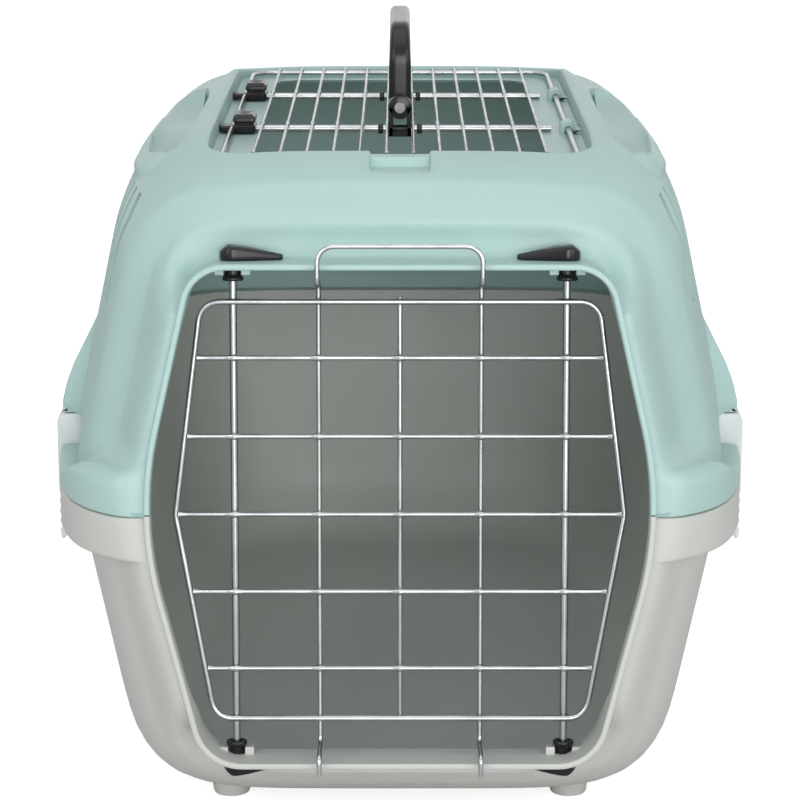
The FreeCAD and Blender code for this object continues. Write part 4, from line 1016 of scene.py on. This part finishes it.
# carrying handle: a rounded section carried along the bail, with a round boss at each foot
print("handle")
handle = {"pivotZ": 343.0, "outer": 58.95, "thick": 11.0, "width": 12.0, "top": 386.0, "bend": 14.5,
          "round": 3.2, "boss": 6.0, "slim": 0.10}
mid, topMid = handle["outer"] - handle["thick"] / 2, handle["top"] - handle["thick"] / 2
corners = [(0, -mid, handle["pivotZ"]), (0, -mid, topMid), (0, mid, topMid), (0, mid, handle["pivotZ"])]
path = evenPath(bentPath(corners, [0, handle["bend"], handle["bend"], 0], False, 16), 2.0, False)
sideways = np.array([1.0, 0, 0])
outward = np.cross(unit(np.gradient(path, axis=0)), sideways)
section = evenPath(roundedBox(handle["width"] / 2, handle["thick"] / 2, handle["round"], 7), 0.9, True)
slim = 1.0 - handle["slim"] * smoothStep(360.0, 378.0, path[:, 2])      # the legs get a little slimmer upward
pts = path[:, None] + sideways * section[None, :, :1] * slim[:, None, None]
parts = [ringsPart(pts + outward[:, None] * section[None, :, 1:], caps=True)]
for low in (-handle["outer"], handle["outer"] - handle["thick"]):
    boss = stackPart(circleOutline(handle["boss"], 0.7), roundLevels(low, low + handle["thick"], 0.8, 0.8, 4))
    parts.append(remap(boss, (0, 0, handle["pivotZ"]), (1, 0, 0), (0, 0, -1), (0, 1, 0)))
parts = [moved(part, (0.0, place["hatchY"], 0.0)) for part in parts]
makePiece("carry_handle_moulded", parts, "black_plastic", "handle", "carry_handle", 40)

bracket = {"half": 6.2, "lug": 2.6, "head": 6.4, "low": 327.2, "bar": 2.6, "deep": 4.0, "clipX": 10.4,
           "clipRadius": 2.9, "clipBore": 1.95, "clipHalf": 1.4}


def slabPart(outline, edge, origin):
    # an outline carried along y through the bracket's depth, with broken edges
    half = bracket["deep"]
    levels = [(edge, -half), (edge * 0.3, -half + edge * 0.3), (0.0, -half + edge), (0.0, half - edge),
              (edge * 0.3, half - edge * 0.3), (edge, half)]
    return alongY(stackPart(outline, levels), origin)


pivot, low, bar, lug = handle["pivotZ"], bracket["low"], bracket["bar"], bracket["lug"] / 2
r, bore, half = bracket["clipRadius"], bracket["clipBore"], bracket["clipHalf"]
ring = lathePart([(bore, -half), (r - 0.4, -half), (r, 0.4 - half), (r, half - 0.4), (r - 0.4, half),
                  (bore, half)], 20)
tall = (pivot - low) / 2
for rodY, end in rodEnds:
    parts = [slabPart(circleOutline(bracket["head"], 0.8), 0.6, (0, rodY, pivot)),
             slabPart(roundedBox(bracket["half"], bar, 0.6), 0.4, (0, rodY, low + bar))]
    for sx in (-1, 1):
        lugX, clipX = sx * (bracket["half"] - lug), sx * bracket["clipX"]
        parts.append(slabPart(roundedBox(lug, tall, 0.5), 0.4, (lugX, rodY, low + tall)))
        parts.append(remap(ring, (clipX, rodY, hatch["rodZ"]), (0, 1, 0), (0, 0, 1), (1, 0, 0)))
    makePiece("handle_bracket_%s_moulded" % end, parts, "black_plastic", "hatch", "handle_bracket_" + end, 30)

# side clips: a hooked section carried along y, with finger grooves across its foot
print("side clips")
clip = {"outer": 178.3, "inner": 174.4, "low": 127.0, "top": 195.0, "hookX": 165.0, "capLow": 174.0,
        "half": 25.0, "groove": 0.9, "grooveRun": 1.3, "grooves": (134.0, 139.5, 145.0, 150.5)}
outer, inner, low, top, hookX = clip["outer"], clip["inner"], clip["low"], clip["top"], clip["hookX"]
corners = [(inner + 1.8, low), (outer - 0.6, low), (outer, low + 6), (outer, top - 0.2), (hookX, top),
           (hookX, clip["capLow"]), (inner, clip["capLow"] - 1), (inner, low + 2.4)]
section = evenPath(bentPath(corners, [0.6, 1.0, 8.0, 4.5, 1.0, 0.6, 0.8, 2.0], True, 6), 0.6, True)
dent = np.exp(-((section[:, None, 1] - np.array(clip["grooves"])) / clip["grooveRun"]) ** 2).max(axis=1)
section[:, 0] -= clip["groove"] * dent * (section[:, 0] > outer - 1.0)
half = clip["half"]
block = stackPart(section, [(0.9, -half), (0.35, 0.2 - half), (0.0, 0.8 - half), (0.0, half - 0.8),
                            (0.35, half - 0.2), (0.9, half)])
for sx, side in sides:
    for sy, end in ((-1, "front"), (1, "rear")):
        part = alongY(block, (0, sy * cover["bayY"], 0))
        name = "%s_%s" % (end, side)
        makePiece("side_latch_%s_moulded" % name, [part if sx > 0 else mirrorPart(part)], "pale_clip",
                  "latch_" + name, "side_latch_" + name, 30)

# CAD nodes whose shape is right keep it, with a better finish
for name in ("side_latch_pins", "handle_pin_front", "handle_pin_rear"):
    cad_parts[name].data.materials.clear()
    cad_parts[name].data.materials.append(finishes["steel_pin"])

# stage, light and camera
print("stage")
stage = {"floorHalf": 6.0, "floor": (0.80, 0.80, 0.80), "floorGlow": 0.75, "world": (0.61, 0.63, 0.65),
         "worldLevel": 0.53}


def largerOf(tree, first, second):
    node = tree.nodes.new("ShaderNodeMath")
    node.operation = "MAXIMUM"
    tree.links.new(first, node.inputs[0])
    tree.links.new(second, node.inputs[1])
    return node.outputs["Value"]


def pickShader(tree, factor, first, second, output):
    node = tree.nodes.new("ShaderNodeMixShader")
    for socket, source in zip(node.inputs, (factor, first, second)):
        tree.links.new(source, socket)
    tree.links.new(node.outputs["Shader"], tree.nodes[output].inputs["Surface"])


floorMesh = bpy.data.meshes.new("floor")
h = stage["floorHalf"]
floorMesh.from_pydata([(-h, -h, 0), (h, -h, 0), (h, h, 0), (-h, h, 0)], [], [(0, 1, 2, 3)])
floor = bpy.data.objects.new("floor", floorMesh)
bpy.context.scene.collection.objects.link(floor)
floorLook, tree, shader = newMaterial("floor_paper")
shader.inputs["Base Color"].default_value = (*stage["floor"], 1.0)
shader.inputs["Roughness"].default_value = 0.9
glow = tree.nodes.new("ShaderNodeEmission")
glow.inputs["Strength"].default_value = stage["floorGlow"]
rays = tree.nodes.new("ShaderNodeLightPath")
both = tree.nodes.new("ShaderNodeAddShader")
tree.links.new(shader.outputs["BSDF"], both.inputs[0])
tree.links.new(glow.outputs["Emission"], both.inputs[1])
pickShader(tree, rays.outputs["Is Camera Ray"], shader.outputs["BSDF"], both.outputs["Shader"],
           "Material Output")
floorMesh.materials.append(floorLook)

world = bpy.data.worlds.new("studio")
bpy.context.scene.world = world
world.use_nodes = True
tree = world.node_tree
rays = tree.nodes.new("ShaderNodeLightPath")
dim = tree.nodes["Background"]
dim.inputs["Color"].default_value = (*stage["world"], 1.0)
dim.inputs["Strength"].default_value = stage["worldLevel"]
white = tree.nodes.new("ShaderNodeBackground")
white.inputs["Color"].default_value = (1.0, 1.0, 1.0, 1.0)
mirrorRay = largerOf(tree, rays.outputs["Is Glossy Ray"], rays.outputs["Is Transmission Ray"])
pickShader(tree, largerOf(tree, rays.outputs["Is Camera Ray"], mirrorRay), dim.outputs["Background"],
           white.outputs["Background"], "World Output")

lamps = [{"name": "overhead", "at": (0.0, -0.5, 2.3), "aim": (0.0, 0.0, 0.2), "size": 2.2, "watts": 15.0},
         {"name": "front_left", "at": (-1.7, -2.2, 1.2), "aim": (0.0, 0.0, 0.2), "size": 1.6, "watts": 20.0},
         {"name": "front_right", "at": (1.8, -2.0, 1.0), "aim": (0.0, 0.0, 0.2), "size": 1.6, "watts": 18.0},
         {"name": "front", "at": (0.35, -2.9, 0.48), "aim": (0.0, 0.0, 0.17), "size": 1.2, "watts": 27.0}]
for lamp in lamps:
    data = bpy.data.lights.new(lamp["name"], "AREA")
    data.energy = lamp["watts"]
    data.size = lamp["size"]
    obj = bpy.data.objects.new(lamp["name"], data)
    obj.location = lamp["at"]
    aim = np.array(lamp["aim"]) - np.array(lamp["at"])
    flat = math.hypot(aim[0], aim[1])
    obj.rotation_euler = (math.atan2(flat, -aim[2]), 0.0, math.atan2(aim[1], aim[0]) - math.pi / 2)
    bpy.context.scene.collection.objects.link(obj)

shot = {"at": (0.0, -1.554, 0.5524), "down": 14.06, "lens": 125.1}
camData = bpy.data.cameras.new("camera")
camData.lens = shot["lens"]
camData.sensor_width = 36.0
cam = bpy.data.objects.new("camera", camData)
cam.location = shot["at"]
cam.rotation_euler = (math.radians(90.0 - shot["down"]), 0.0, 0.0)
bpy.context.scene.collection.objects.link(cam)
bpy.context.scene.camera = cam
bpy.context.scene.view_settings.view_transform = "Standard"

print("finish")
